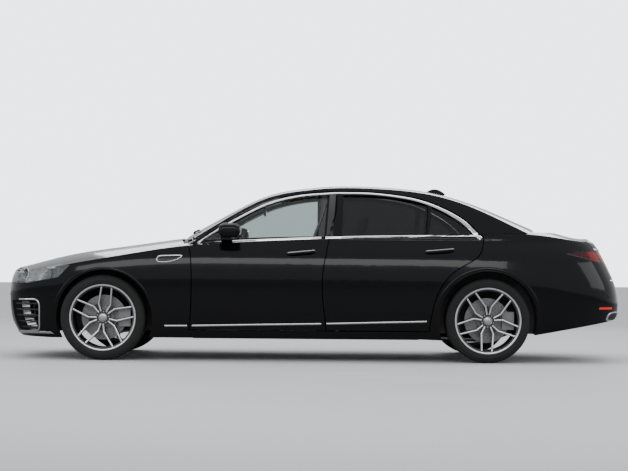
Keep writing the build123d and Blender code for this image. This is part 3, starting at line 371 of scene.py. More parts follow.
class Shape:
    """Collects the parts of one piece."""

    def __init__(self):
        self.verts = []
        self.faces = []

    def add(self, verts, faces):
        """Take in more points, with faces that are numbered from the first of them."""
        base = len(self.verts)
        self.verts += [Vector(v) for v in verts]
        self.faces += [tuple(base + i for i in face) for face in faces]
        return self

    def block(self, low, high):
        """A box between two corners."""
        x, y, z = zip(low, high)
        verts = [(x[i], y[j], z[k]) for i in (0, 1) for j in (0, 1) for k in (0, 1)]
        faces = [(0, 1, 3, 2), (4, 6, 7, 5), (0, 4, 5, 1), (2, 3, 7, 6), (0, 2, 6, 4),
                 (1, 5, 7, 3)]
        return self.add(verts, faces)

    def lofted(self, rows):
        """A skin over closed rows of points, with both ends capped."""
        count = max(len(row) for row in rows)
        end = (len(rows) - 1) * count
        faces = []
        for i in range(0, end, count):
            for k in range(count):
                n = (k + 1) % count
                faces.append((i + k, i + n, i + count + n, i + count + k))
        faces.append(tuple(range(count))[::-1])
        faces.append(tuple(end + k for k in range(count)))
        return self.add([point for row in rows for point in row], faces)

    def sweep(self, path, section, up=UPWARD):
        """Carry a closed section, given as (side, up) offsets, along a path."""
        rows = []
        for before, point, after in neighbours(path):
            along = (after - before).normalized()
            side = along.cross(up).normalized()
            rise = side.cross(along)
            rows.append([point + side * a + rise * b for a, b in section])
        return self.lofted(rows)

    def tube(self, path, radius, sides=12):
        """A round bar along a path."""
        return self.sweep(path, oval(radius, radius, sides))

    def turned(self, rings, point, axis, start, steps=96, closed=False):
        """Rings, as (distance out, distance along), turned about an axis through a point."""
        across = axis.cross(start)
        verts = []
        for step in range(steps):
            angle = 2 * math.pi * step / steps
            way = start * math.cos(angle) + across * math.sin(angle)
            verts += [point + way * out + axis * along for out, along in rings]
        count = len(rings)
        faces = []
        for step in range(steps):
            here = step * count
            there = (step + 1) % steps * count
            for k in range(count if closed else count - 1):
                n = (k + 1) % count
                faces.append((here + k, there + k, there + n, here + n))
        return self.add(verts, faces)

    def slab(self, top, depth):
        """A closed sheet between a grid of points and the same grid moved by a vector."""
        rows, columns = len(top), len(top[0])
        verts = [p for row in top for p in row] + [p + depth for row in top for p in row]
        under = rows * columns
        faces = []
        for i in range(rows - 1):
            for j in range(columns - 1):
                a, b = i * columns + j, i * columns + j + 1
                c, d = a + columns, b + columns
                faces += [(a, b, d, c), (under + a, under + c, under + d, under + b)]
        rim = list(range(columns))
        rim += [i * columns + columns - 1 for i in range(1, rows)]
        rim += [(rows - 1) * columns + j for j in range(columns - 2, -1, -1)]
        rim += [i * columns for i in range(rows - 2, 0, -1)]
        for a, b in zip(rim, rim[1:] + rim[:1]):
            faces.append((a, under + a, under + b, b))
        return self.add(verts, faces)

    def mesh(self, name):
        """The collected parts as a mesh."""
        mesh = bpy.data.meshes.new(name)
        mesh.from_pydata([tuple(v) for v in self.verts], [], self.faces)
        return mesh

    def make(self, name, material, body, slot, bevel=0.0):
        """The finished piece, smooth but for its sharp edges."""
        mesh = self.mesh(name)
        mesh.materials.append(material)
        mesh.validate()
        mesh.shade_smooth()
        obj = placed(name, mesh, body)
        if bevel:
            bevelled(obj, bevel)
        with bpy.context.temp_override(object=obj, selected_editable_objects=[obj]):
            bpy.ops.object.shade_smooth_by_angle(angle=SMOOTH_ANGLE)
        return obj


def rounded_box(name, low, high, radius, material, body, slot):
    """A moulded block with rounded edges."""
    return Shape().block(low, high).make(name, material, body, slot, bevel=radius)


# ---------------------------------------------------------------- what follows the skin

STRIP_SINK = 0.002
TRIM_SINK = 0.003
STRIP_SECTION = [(math.cos(math.pi * k / 6), math.sin(math.pi * k / 6)) for k in range(7)]
STRIP_SECTION += [(-1, -1), (1, -1)]


def skin_of(*nodes):
    """Search tree over the surfaces of CAD nodes."""
    verts = []
    faces = []
    for node in nodes:
        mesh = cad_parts[node].data
        base = len(verts)
        verts += [v.co.copy() for v in mesh.vertices]
        faces += [[base + i for i in p.vertices] for p in mesh.polygons]
    return BVHTree.FromPolygons(verts, faces)


def doors_of(side_name):
    """The doors and their glass on one side."""
    return [f"{part}_{side_name}" for part in ("front_door", "rear_door", "front_door_glass",
                                               "rear_door_glass")]


SIDE_SKIN = {
    side: skin_of(*doors_of(side_name), "body_sides", "fenders", "front_bumper", "rear_bumper",
                  "boot_lid", "headlamps", "tail_lamps", "tail_lamps_lid", "roof_panel")
    for side, side_name in SIDES
}
FRONT_SKIN = skin_of("front_bumper", "grille", "headlamps", "bonnet", "fenders")
REAR_SKIN = skin_of("rear_bumper", "boot_lid", "tail_lamps", "tail_lamps_lid")
ROOF_SKIN = skin_of("roof_panel")


def landed(skin, start, way):
    """Where a ray first meets a skin, or None."""
    return skin.ray_cast(start, way)[0]


def on_side(x, z, side):
    """The point of the body side at a place, or None past its edge."""
    return landed(SIDE_SKIN[side], Vector((x, BESIDE_Y * side, z)), ACROSS * -side)


def side_strip(shape, side, points, width, rise, step=0.02):
    """A raised half-round strip on the body side, along points (x, z) or (x, z, width).

    Points that come before the first one on the skin are left out.
    """
    rows = []
    last = None
    path = smooth_path([(p[0], p[1], p[2] if len(p) > 2 else width) for p in points], step)
    for before, point, after in neighbours(path):
        along = Vector((after.x - before.x, 0, after.y - before.y)).normalized()
        across = Vector((-along.z, 0, along.x))
        row = []
        for a, b in STRIP_SECTION:
            x = point.x + across.x * a * point.z / 2
            z = point.y + across.z * a * point.z / 2
            last = on_side(x, z, side) or last
            if last is None:
                continue
            lift = b * rise if b >= 0 else -STRIP_SINK
            row.append(Vector((x, last.y + side * lift, z)))
        rows.append(row)
    return shape.lofted(rows)


def side_trim(name, side, body, lines, material, slot):
    """One piece of strips on the body side; each line holds its points, width and rise."""
    shape = Shape()
    for line in lines:
        side_strip(shape, side, *line)
    return shape.make(name, material, body, slot)


def trim(shape, points, width, rise, skin, way, step=0.02):
    """A raised half-round strip laid on a skin along a direction, through start points."""
    rows = []
    last = None
    for before, point, after in neighbours(smooth_path(points, step)):
        across = (after - before).cross(way).normalized()
        row = []
        for a, b in STRIP_SECTION:
            start = point + across * a * width / 2
            hit = landed(skin, start, way)
            if hit is None:
                hit = start + way * ((last or start) - start).dot(way)
            last = hit
            row.append(hit - way * (b * rise if b >= 0 else -TRIM_SINK))
        rows.append(row)
    return shape.lofted(rows)


def patch(shape, grid, skin, way, lift=0.002, sink=0.004):
    """A thin closed sheet over a grid of start points, laid on a skin along a direction."""
    top = []
    for row in grid:
        last = None
        hits = []
        for start in row:
            hit = landed(skin, start, way)
            if hit is None and last is not None:
                hit = start + way * (last - start).dot(way)
            if hit is not None:
                last = hit
            hits.append(hit)
        known = [hit for hit in hits if hit is not None]
        hits = [hit or start + way * (known[0] - start).dot(way) for hit, start in zip(hits, row)]
        top.append([hit - way * lift for hit in hits])
    return shape.slab(top, way * (lift + sink))


def cross_grid(x, y_low, y_high, z_low, z_high, columns, rows):
    """Start points in a cross plane of the car."""
    return [[Vector((x, y, z)) for y in steps_between(y_low, y_high, columns)]
            for z in steps_between(z_low, z_high, rows)]


# ---------------------------------------------------------------- wheels

# Axle's x, hub's y, tyre's radius, tyre's width and turn of the first spoke in degrees.
WHEELS = {
    "front_left": (FRONT_AXLE_X, -0.820, 0.3560, 0.255, -97),
    "front_right": (FRONT_AXLE_X, 0.820, 0.3560, 0.255, -97),
    "rear_left": (REAR_AXLE_X, -0.816, 0.3522, 0.285, 88),
    "rear_right": (REAR_AXLE_X, 0.816, 0.3522, 0.285, 88),
}
RIM_RADIUS = 0.278
SPOKES = 5
SIPES = 72
DISC_HOLE_FANS = 24
BOLT_CIRCLE = 0.050
DISC_FACE = 0.0048

# Outlines are (distance out from the hub, distance along from the tyre's outer face).
SPOKE_TOP = ((0.0, -0.032), (0.06, -0.030), (0.11, -0.028), (0.252, -0.012), (0.30, -0.010))
SPOKE_LINE = ((0.052, 0.010), (0.117, 0.024), (0.233, 0.117))
SPOKE_SECTION = ((-0.0058, -0.004), (-0.0058, 0.0008), (-0.0045, 0.0016), (0.0045, 0.0016),
                 (0.0058, 0.0008), (0.0058, -0.004))
RIM_LIP = ((0.262, -0.0135), (0.264, -0.0045), (0.267, -0.003), (0.2755, -0.003),
           (0.278, -0.005), (0.277, -0.013))
HUB_CAP = ((0.0, -0.022), (0.012, -0.0222), (0.024, -0.0235), (0.029, -0.0255),
           (0.031, -0.029), (0.031, -0.034))
CAP_RING = ((0.031, -0.033), (0.0315, -0.0275), (0.0335, -0.0265), (0.0355, -0.0275),
            (0.036, -0.033))
BOLT_SEAT = -0.0335
BOLT = ((0.0, 0.004), (0.0045, 0.004), (0.0055, 0.003), (0.0055, 0.0), (0.0095, -0.001),
        (0.0098, -0.004))
# A flat dark disc in place of a drilled hole: painted shade.
DRILL_HOLE_SHADE = ((0.0, 0.0), (0.0034, 0.0))


def spoke_height(out):
    """Height of the spokes' faces from the tyre's outer face, by distance from the hub."""
    for (near, low), (there, high) in zip(SPOKE_TOP, SPOKE_TOP[1:]):
        if out <= there:
            return low + (high - low) * (out - near) / (there - near)
    return SPOKE_TOP[-1][1]


def tyre_rings(radius, edge):
    """Outline of a tyre, from its outer bead over the tread to the inner bead."""
    wall = [(RIM_RADIUS - 0.010, -0.014), (RIM_RADIUS, -0.008), (RIM_RADIUS + 0.003, -0.003),
            (RIM_RADIUS + 0.010, -0.001), (RIM_RADIUS + 0.016, 0.0),
            (RIM_RADIUS + 0.017, -0.0015), (RIM_RADIUS + 0.030, -0.001),
            (RIM_RADIUS + 0.031, 0.0), (RIM_RADIUS + 0.034, 0.0), (RIM_RADIUS + 0.035, -0.0015),
            (radius - 0.030, -0.0055), (radius - 0.026, -0.0065), (radius - 0.025, -0.009),
            (radius - 0.016, -0.013), (radius - 0.008, -0.019), (radius - 0.0035, -0.027),
            (radius - 0.001, -0.036), (radius - 0.0005, -0.050)]
    half = [(out, edge + along) for out, along in wall]
    for groove in (edge * 0.52, edge * 0.17):
        half += [(radius, groove + 0.006), (radius - 0.008, groove + 0.005),
                 (radius - 0.008, groove - 0.005), (radius, groove - 0.006)]
    return half + [(out, -along) for out, along in half[::-1]]


def ring_nodes():
    """Geometry nodes that set a mark round a centre, Count times."""
    tree = bpy.data.node_groups.new("ring of marks", "GeometryNodeTree")
    tree.interface.new_socket("Geometry", in_out="INPUT", socket_type="NodeSocketGeometry")
    tree.interface.new_socket("Mark", in_out="INPUT", socket_type="NodeSocketObject")
    count = tree.interface.new_socket("Count", in_out="INPUT", socket_type="NodeSocketInt")
    count.default_value = 60
    centre = tree.interface.new_socket("Centre", in_out="INPUT", socket_type="NodeSocketVector")
    centre.default_value = (0, 0, 0)
    tree.interface.new_socket("Material", in_out="INPUT", socket_type="NodeSocketMaterial")
    tree.interface.new_socket("Geometry", in_out="OUTPUT", socket_type="NodeSocketGeometry")
    enter = tree.nodes.new("NodeGroupInput")
    leave = tree.nodes.new("NodeGroupOutput")
    points = tree.nodes.new("GeometryNodePoints")
    index = tree.nodes.new("GeometryNodeInputIndex")
    share = tree.nodes.new("ShaderNodeMath")
    share.operation = "DIVIDE"
    turn = tree.nodes.new("ShaderNodeMath")
    turn.operation = "MULTIPLY"
    turn.inputs[1].default_value = 2 * math.pi
    spin = tree.nodes.new("ShaderNodeCombineXYZ")
    info = tree.nodes.new("GeometryNodeObjectInfo")
    instance = tree.nodes.new("GeometryNodeInstanceOnPoints")
    realize = tree.nodes.new("GeometryNodeRealizeInstances")
    dress = tree.nodes.new("GeometryNodeSetMaterial")
    link = tree.links.new
    link(enter.outputs["Count"], points.inputs["Count"])
    link(enter.outputs["Centre"], points.inputs["Position"])
    link(index.outputs["Index"], share.inputs[0])
    link(enter.outputs["Count"], share.inputs[1])
    link(share.outputs["Value"], turn.inputs[0])
    link(turn.outputs["Value"], spin.inputs["Y"])
    link(enter.outputs["Mark"], info.inputs["Object"])
    link(points.outputs["Points"], instance.inputs["Points"])
    link(info.outputs["Geometry"], instance.inputs["Instance"])
    link(spin.outputs["Vector"], instance.inputs["Rotation"])
    link(instance.outputs["Instances"], realize.inputs["Geometry"])
    link(realize.outputs["Geometry"], dress.inputs["Geometry"])
    link(enter.outputs["Material"], dress.inputs["Material"])
    link(dress.outputs["Geometry"], leave.inputs["Geometry"])
    return tree

RING_OF_MARKS = ring_nodes()


def ring_of(name, shape, count, centre, material, body):
    """Repeat a small shape, made about the origin, round the Y axis through a centre."""
    base = linked(name + "_base", bpy.data.meshes.new(name + "_base"))
    mark = linked(name + "_mark", shape.mesh(name + "_mark"))
    modifier = base.modifiers.new("ring", "NODES")
    modifier.node_group = RING_OF_MARKS
    values = {"Mark": mark, "Count": count, "Centre": tuple(centre), "Material": material}
    for item in RING_OF_MARKS.interface.items_tree:
        if item.in_out == "INPUT" and item.name in values:
            modifier[item.identifier] = values[item.name]
    mesh = baked(base)
    for temporary in (base, mark):
        bpy.data.objects.remove(temporary)
    return placed(name, mesh, body)


class Wheel:
    """Where one wheel stands; its pieces are turned about its hub."""

    def __init__(self, place, x, y, radius, width, turn):
        self.place = place
        self.body = "wheel_" + place
        self.side = -1 if y < 0 else 1
        self.radius = radius
        self.edge = width / 2
        self.turn = turn
        self.hub = Vector((x, y, radius))
        self.out_way = ACROSS * self.side
        self.start = ALONG * -self.side
        self.up = self.out_way.cross(self.start)

    def at(self, out, angle, along):
        """A point by its distance out, its angle and its place from the tyre's outer face."""
        way = self.start * math.cos(angle) + self.up * math.sin(angle)
        return self.hub + way * out + self.out_way * (self.edge + along)

    def turned(self, shape, rings, steps, closed=False):
        """Add an outline, given from the tyre's outer face, turned about the hub."""
        face = self.hub + self.out_way * self.edge
        return shape.turned(rings, face, self.out_way, self.start, steps, closed)


def tyre(wheel):
    """Tyre with a rounded shoulder, a bead and tread grooves."""
    shape = Shape().turned(tyre_rings(wheel.radius, wheel.edge), wheel.hub, wheel.out_way,
                           wheel.start, steps=120)
    obj = shape.make("tyre_shown_" + wheel.place, RUBBER, wheel.body, "tyre_rubber")
    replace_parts(obj, "tyre_" + wheel.place)


def tyre_sipes(wheel):
    """Cut marks round both shoulders."""
    mark = Shape()
    for way in (-1, 1):
        low, high = sorted((way * wheel.edge * 0.62, way * (wheel.edge - 0.016)))
        mark.block((-0.0016, low, wheel.radius - 0.010), (0.0016, high, wheel.radius - 0.0012))
    ring_of("tyre_sipes_" + wheel.place, mark, SIPES, wheel.hub, SEAL, wheel.body)


def spoke_path(wheel, fork, way):
    """Middle line of one arm of a forked spoke, in the wheel's own plane."""
    turned = Matrix.Rotation(math.radians(wheel.turn + 360 / SPOKES * fork), 2)
    corners = [turned @ Vector((out, way * aside)) for out, aside in SPOKE_LINE]
    path = []
    for a, b in zip(corners, corners[1:]):
        parts = max(2, int((b - a).length / 0.012))
        path += [a.lerp(b, k / parts) for k in range(parts)]
    return path + [corners[-1]]


def rim_faces(wheel):
    """Machined faces of the forked spokes, with the rim's bright lip."""
    faces = Shape()
    for fork in range(SPOKES):
        for way in (-1, 1):
            rows = []
            for before, point, after in neighbours(spoke_path(wheel, fork, way)):
                along = (after - before).normalized()
                across = Vector((-along.y, along.x))
                row = []
                for aside, lift in SPOKE_SECTION:
                    spot = point + across * aside
                    height = spoke_height(spot.length) + lift
                    row.append(wheel.at(spot.length, math.atan2(spot.y, spot.x), height))
                rows.append(row)
            faces.lofted(rows)
    wheel.turned(faces, RIM_LIP, 96, closed=True)
    faces.make("rim_faces_" + wheel.place, MACHINED, wheel.body, "rim_metal")


def hub_cap(wheel):
    """Domed cap with a raised ring round it."""
    cap = Shape()
    wheel.turned(cap, HUB_CAP, 48)
    wheel.turned(cap, CAP_RING, 48)
    cap.make("hub_cap_" + wheel.place, SATIN, wheel.body, "rim_metal")


def wheel_bolts(wheel):
    """A bolt between each pair of spokes."""
    bolts = Shape()
    for k in range(SPOKES):
        angle = math.radians(wheel.turn + 360 / SPOKES * (k + 0.5))
        bolts.turned(BOLT, wheel.at(BOLT_CIRCLE, angle, BOLT_SEAT), wheel.out_way, wheel.start,
                     steps=12)
    bolts.make("wheel_bolts_" + wheel.place, SATIN, wheel.body, "rim_metal")


def disc_hole_shade(wheel):
    """Fans of four drillings, drawn as flat dark discs that paint the shade inside the holes,
    repeated round the brake disc.
    """
    holes = Shape()
    for k in range(4):
        angle = math.radians(5.5 * k)
        spot = Vector((math.sin(angle), 0, math.cos(angle))) * (0.100 + 0.023 * k)
        holes.turned(DRILL_HOLE_SHADE, spot + wheel.out_way * DISC_FACE, wheel.out_way, wheel.start,
                     steps=8)
    ring_of("disc_holes_" + wheel.place, holes, DISC_HOLE_FANS, wheel.hub, SEAL, wheel.body)


for wheel_place, wheel_values in WHEELS.items():
    this_wheel = Wheel(wheel_place, *wheel_values)
    for wheel_part in (tyre, tyre_sipes, rim_faces, hub_cap, wheel_bolts, disc_hole_shade):
        wheel_part(this_wheel)


# ---------------------------------------------------------------- bright trim on the sides

# Lines are (x, z) from front to back. The window lines follow the axle and the door's edge.
TOP_DROP = 0.012
WINDOW_TOP_FRONT = ((0.029, 0.985), (0.200, 1.100), (0.386, 1.212), (0.648, 1.338),
                    (0.910, 1.405))
WINDOW_TOP_REAR = ((-0.971, 1.430), (-0.710, 1.402), (-0.536, 1.365), (-0.361, 1.298),
                   (-0.187, 1.197), (-0.038, 1.050))
WINDOW_TOP_Z = 1.433
BELT_FRONT = [(-0.986, 0.976), (-0.750, 0.998), (-0.300, 1.021), (0.055, 1.037)]
BELT_REAR = [(0.090, 1.038), (0.500, 1.049), (0.950, 1.058), (1.316, 1.063), (1.385, 1.058)]
SILL_FRONT = [(-1.020, 0.291), (-0.500, 0.303), (0.060, 0.315)]
SILL_REAR = [(0.105, 0.316), (0.500, 0.328), (0.940, 0.341)]
SILL_FENDER = [(-1.247, 0.288), (-1.060, 0.290)]
VENT_RING = [(-1.315, 0.850), (-1.300, 0.872), (-1.230, 0.877), (-1.118, 0.879),
             (-1.110, 0.870), (-1.150, 0.845), (-1.215, 0.828), (-1.290, 0.824),
             (-1.313, 0.835), (-1.315, 0.850)]
VENT_SLATS = [[(-1.300 + rise, 0.838 + rise), (-1.145 + 1.2 * rise, 0.838 + rise)]
              for rise in (0.0, 0.013, 0.026)]
# Width and height of the strips.
TOP_STRIP = (0.014, 0.004)
BELT_STRIP = (0.016, 0.005)
HANDLES = {"front_door": ((-0.232, 0.898), (0.008, 0.922)),
           "rear_door": ((0.924, 0.922), (1.168, 0.944))}


def window_tops():
    """The lines over the front door's window and, widening to the back, the rear door's."""
    front = [(DOOR_FRONT_X + x, z) for x, z in WINDOW_TOP_FRONT]
    front.append((PILLAR_X + 0.083, WINDOW_TOP_Z))
    front = [(x + (TOP_DROP if k < 3 else 0.0), z - TOP_DROP) for k, (x, z) in enumerate(front)]
    rear = [(PILLAR_X + 0.091, WINDOW_TOP_Z)]
    rear += [(REAR_AXLE_X + x, z) for x, z in WINDOW_TOP_REAR]
    rear = [(x - 0.010 - 0.010 * min(k, 4) / 4, z - TOP_DROP, 0.014 + 0.020 * (k / 6) ** 2)
            for k, (x, z) in enumerate(rear)]
    return front, rear


def side_chrome(side, side_name):
    """Bright lines round the windows, along the sills and round the fender's vent."""
    top_front, top_rear = window_tops()
    for name, body, lines in (
            ("window_chrome_front", "front_door_" + side_name,
             [(top_front, *TOP_STRIP), (BELT_FRONT, *BELT_STRIP)]),
            ("window_chrome_rear", "rear_door_" + side_name,
             [(top_rear, *TOP_STRIP), (BELT_REAR, *BELT_STRIP)]),
            ("sill_chrome_front", "front_door_" + side_name, [(SILL_FRONT, *BELT_STRIP)]),
            ("sill_chrome_rear", "rear_door_" + side_name, [(SILL_REAR, *BELT_STRIP)]),
            ("fender_chrome", "body", [(SILL_FENDER, *BELT_STRIP),
                                       (VENT_RING, 0.008, 0.004, 0.01)])):
        side_trim(f"{name}_{side_name}", side, body, lines, CHROME, "trim_chrome")
    side_trim("fender_vent_" + side_name, side, "body",
              [(slat, 0.007, 0.003) for slat in VENT_SLATS], GLOSS_BLACK, "black_plastic")


def door_handle(door, side, side_name):
    """A bowed grip that stands off the door, with a bright line along it."""
    body = f"{door}_{side_name}"
    (x_low, z_low), (x_high, z_high) = HANDLES[door]
    bow = []
    for t in steps_between(0.0, 1.0, 24):
        x = x_low + (x_high - x_low) * t
        z = z_low + (z_high - z_low) * t
        away = 0.030 * min(1.0, 5 * t, 5 * (1 - t)) ** 0.6 - 0.002
        bow.append(Vector((x, on_side(x, z, side).y + side * away, z)))
    handle = Shape().sweep(bow, oval(0.008, 0.013, 12))
    handle.make(f"{door}_handle_{side_name}", PAINT, body, "body_paint")
    line = [p + Vector((0, side * 0.0045, 0.0095)) for p in bow[1:-1]]
    bright = Shape().tube(line, 0.0045, 8)
    bright.make(f"{door}_handle_chrome_{side_name}", CHROME, body, "trim_chrome")


for side, side_name in SIDES:
    side_chrome(side, side_name)
    for door in HANDLES:
        door_handle(door, side, side_name)


# ---------------------------------------------------------------- lamps

LENS_WALL = 0.003
BOX_WALL = 0.002
LENS_FACING = 0.35
# Where the headlamp lens lies, and how fast it sweeps back from the nose.
LENS_Y = (0.450, 0.890)
LENS_Z = (0.655, 0.785)
LENS_NOSE_X = -2.70
LENS_SWEEP = 0.9
REFLECTOR_DEPTH = 0.055
REFLECTOR_WAVE = 0.006
PROJECTOR_DEPTH = 0.046
BROW_DEPTH = 0.016
PROJECTORS = ((0.565, 0.712), (0.715, 0.721))
# Outlines turned about a projector's axis: (distance out, distance along).
BEZEL = ((0.045, -0.012), (0.045, 0.010), (0.042, 0.013), (0.039, 0.010), (0.031, -0.004),
         (0.028, -0.020), (0.036, -0.022))
BEAD = ((0.0, 0.008), (0.010, 0.006), (0.019, 0.001), (0.026, -0.009), (0.027, -0.016),
        (0.0, -0.018))
LIGHT_RING = ((0.0455, 0.009), (0.0470, 0.0105), (0.0485, 0.009), (0.0470, 0.007))
# Tail lamps: heights of the light bars, and a bar's section.
LIGHT_BARS_Z = steps_between(0.862, 0.926, 4)
LIGHT_BAR = ((-0.002, -0.0045), (0.002, -0.0045), (0.002, 0.0045), (-0.002, 0.0045))


def walled(part, wall):
    """A closed shell of a wall's thickness inside an open mesh."""
    verts = [v.co.copy() for v in part.verts]
    part.verts.index_update()
    faces = [[v.index for v in f.verts] for f in part.faces]
    count = len(verts)
    inner = [v.co - v.normal * wall for v in part.verts]
    closed = faces + [[count + i for i in face[::-1]] for face in faces]
    for edge in part.edges:
        if len(edge.link_faces) == 1:
            a, b = (v.index for v in edge.verts)
            closed.append([a, b, count + b, count + a])
    return Shape().add(verts + inner, closed)


def lamp_shells(node, side, facing, lens_finish, name, side_name, body, slot):
    """Split one side's lamp solid into a thin outer lens and an inner housing."""
    solid = bmesh.new()
    solid.from_mesh(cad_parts[node].data)
    bmesh.ops.remove_doubles(solid, verts=solid.verts, dist=JOIN_DISTANCE)
    far_half = [f for f in solid.faces if f.calc_center_median().y * side < 0]
    bmesh.ops.delete(solid, geom=far_half, context="FACES")
    bmesh.ops.recalc_face_normals(solid, faces=solid.faces)
    # The inner housing takes the faintly glowing housing finish: painted light.
    for word, material, is_lens, wall in (("lens", lens_finish, True, LENS_WALL),
                                          ("box", LAMP_HOUSING_PAINTED_LIGHT, False, BOX_WALL)):
        half = solid.copy()
        drop = [f for f in half.faces if (f.normal.dot(facing) > LENS_FACING) != is_lens]
        bmesh.ops.delete(half, geom=drop, context="FACES")
        walled(half, wall).make(f"{name}_{word}_{side_name}", material, body, slot)
        half.free()
    solid.free()


def lens_rows(skin, side, way):
    """Rows of points over the lens; a miss takes the nearest point of its row."""
    rows = []
    for z in steps_between(*LENS_Z, 6):
        ys = [side * y for y in steps_between(*LENS_Y, 14)]
        starts = [Vector((LENS_NOSE_X + (abs(y) - LENS_Y[0]) * LENS_SWEEP, y, z)) for y in ys]
        hits = [landed(skin, start - way * 0.4, way) for start in starts]
        known = [hit for hit in hits if hit is not None]
        if known:
            rows.append([hit or min(known, key=lambda p: abs(p.y - y))
                         for hit, y in zip(hits, ys)])
    return rows


def headlamp(side, side_name):
    """A waved reflector, two ringed projectors and a light guide over them, behind glass."""
    facing = Vector((-1, side * 0.8, 0.2)).normalized()
    lamp_shells("headlamps", side, facing, LENS, "headlamp", side_name, "body", "lamp_clear")
    skin = skin_of("headlamps")
    way = -Vector((-1, side * 0.75, 0.12)).normalized()
    start = way.cross(UPWARD).normalized()
    inside = Shape()
    guide = Shape()
    beads = Shape()
    inside.slab([[p + way * (REFLECTOR_DEPTH + REFLECTOR_WAVE * math.sin(j * 1.9))
                  for j, p in enumerate(row)] for row in lens_rows(skin, side, way)],
                way * 0.004)
    for y, z in PROJECTORS:
        centre = landed(skin, Vector((AHEAD_X, side * y, z)), INTO_NOSE)
        centre += way * PROJECTOR_DEPTH
        inside.turned(BEZEL, centre, -way, start, steps=36, closed=True)
        beads.turned(BEAD, centre, -way, start, steps=32)
        guide.turned(LIGHT_RING, centre, -way, start, steps=48, closed=True)
    brow = []
    for t in steps_between(0.0, 1.0, 12):
        place = Vector((AHEAD_X, side * (0.470 + 0.400 * t), 0.752 + 0.018 * t))
        hit = landed(skin, place, INTO_NOSE)
        if hit is not None:
            brow.append(hit + way * BROW_DEPTH)
    guide.tube(smooth_path(brow, 0.01), 0.0055, 10)
    # The waved reflector and the projector bezels glow faintly: painted light from the housing
    # finish.
    inside.make("headlamp_inside_" + side_name, LAMP_HOUSING_PAINTED_LIGHT, "body", "lamp_clear")
    beads.make("headlamp_projectors_" + side_name, SCREEN, "body", "lamp_clear")
    guide.make("headlamp_light_guide_" + side_name, LAMP_WHITE, "body", "lamp_clear")


def tail_lamp(name, node, body, side, side_name, y_low, y_high, way):
    """Five light bars behind a red lens."""
    facing = Vector((1, side * 0.8, 0.1)).normalized()
    lamp_shells(node, side, facing, RED_LENS, name, side_name, body, "lamp_red")
    skin = skin_of(node)
    bars = Shape()
    for level, z in enumerate(LIGHT_BARS_Z):
        line = []
        for y in steps_between(y_low, y_high, 14):
            hit = landed(skin, Vector((2.55, side * y, z)) - way * 0.6, way)
            if hit is not None:
                line.append(hit + way * (0.010 + 0.003 * (level % 2)))
        if len(line) > 3:
            bars.sweep(line, LIGHT_BAR)
    bars.make(f"{name}_bars_{side_name}", RED_LAMP_AND_REFLECTOR_GLOW, body, "lamp_red")


for side, side_name in SIDES:
    headlamp(side, side_name)
    tail_lamp("tail_lamp", "tail_lamps", "body", side, side_name, 0.635, 0.835,
              Vector((-1, -side * 0.5, 0)).normalized())
    tail_lamp("lid_lamp", "tail_lamps_lid", "boot_lid", side, side_name, 0.305, 0.620,
              INTO_TAIL)
for lens_piece, lamp_node in (("headlamp_lens_left", "headlamps"),
                              ("tail_lamp_lens_left", "tail_lamps"),
                              ("lid_lamp_lens_left", "tail_lamps_lid")):
    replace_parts(bpy.data.objects[lens_piece], lamp_node)


# ---------------------------------------------------------------- front end

INTAKE_RING = [(-2.500, 0.499), (-2.420, 0.500), (-2.342, 0.499), (-2.316, 0.470),
               (-2.310, 0.440), (-2.312, 0.350), (-2.319, 0.250), (-2.360, 0.238),
               (-2.440, 0.228), (-2.500, 0.228)]
SENSOR = ((0.0, 0.0022), (0.008, 0.002), (0.0095, 0.0), (0.0095, -0.004))
TOW_COVER = ((0.0, 0.0015), (0.0135, 0.0015), (0.0155, 0.0), (0.0155, -0.006), (0.0, -0.006))
TOW_PLACE = (0.560, 0.520)


def sensor_dots(name, skin, way, x, places):
    """Round parking sensors set in a bumper."""
    dots = Shape()
    for y, z in places:
        dots.turned(SENSOR, landed(skin, Vector((x, y, z)), way), -way, ACROSS, steps=20)
    dots.make(name, PLASTIC, "body", "body_paint")


def tow_cap(name, skin, way, x):
    """Round painted cover over a tow eye's socket."""
    y, z = TOW_PLACE
    rim = landed(skin, Vector((x, y + 0.024, z)), way)
    cap = Shape().turned(TOW_COVER, Vector((rim.x, y, z)) + way * 0.004, -way, ACROSS, steps=28)
    cap.make(name, PAINT, "body", "body_paint")


for side, side_name in SIDES:
    side_trim("intake_chrome_" + side_name, side, "body", [(INTAKE_RING, 0.014, 0.005)], CHROME,
              "trim_chrome")
front_blade = [Vector((AHEAD_X, -0.80 + 0.1 * k, 0.214 + 0.006 * math.cos(k * math.pi / 8)))
               for k in range(17)]
trim(Shape(), front_blade, 0.020, 0.006, FRONT_SKIN, INTO_NOSE).make(
    "front_blade_chrome", CHROME, "body", "trim_chrome")
sensor_dots("front_sensors", FRONT_SKIN, INTO_NOSE, AHEAD_X,
            [(-0.70, 0.560), (-0.45, 0.540), (0.45, 0.540), (0.70, 0.560)])
tow_cap("tow_cap_front", FRONT_SKIN, INTO_NOSE, AHEAD_X)

# ---------------------------------------------------------------- rear end

EXHAUST_Y = 0.60
EXHAUST_Z = 0.388
REFLECTOR_Y = 0.735


def rear_bar(name, half, z, body, count):
    """A bright bar across the tail."""
    line = [Vector((BEHIND_X, y, z)) for y in steps_between(-half, half, count)]
    trim(Shape(), line, 0.016, 0.006, REAR_SKIN, INTO_TAIL).make(name, CHROME, body,
                                                                 "trim_chrome")


def rear_patch(name, grid, lift, sink, material, body, slot, bevel=0.0):
    """A sheet laid on the tail."""
    sheet = patch(Shape(), cross_grid(BEHIND_X, *grid), REAR_SKIN, INTO_TAIL, lift, sink)
    sheet.make(name, material, body, slot, bevel)


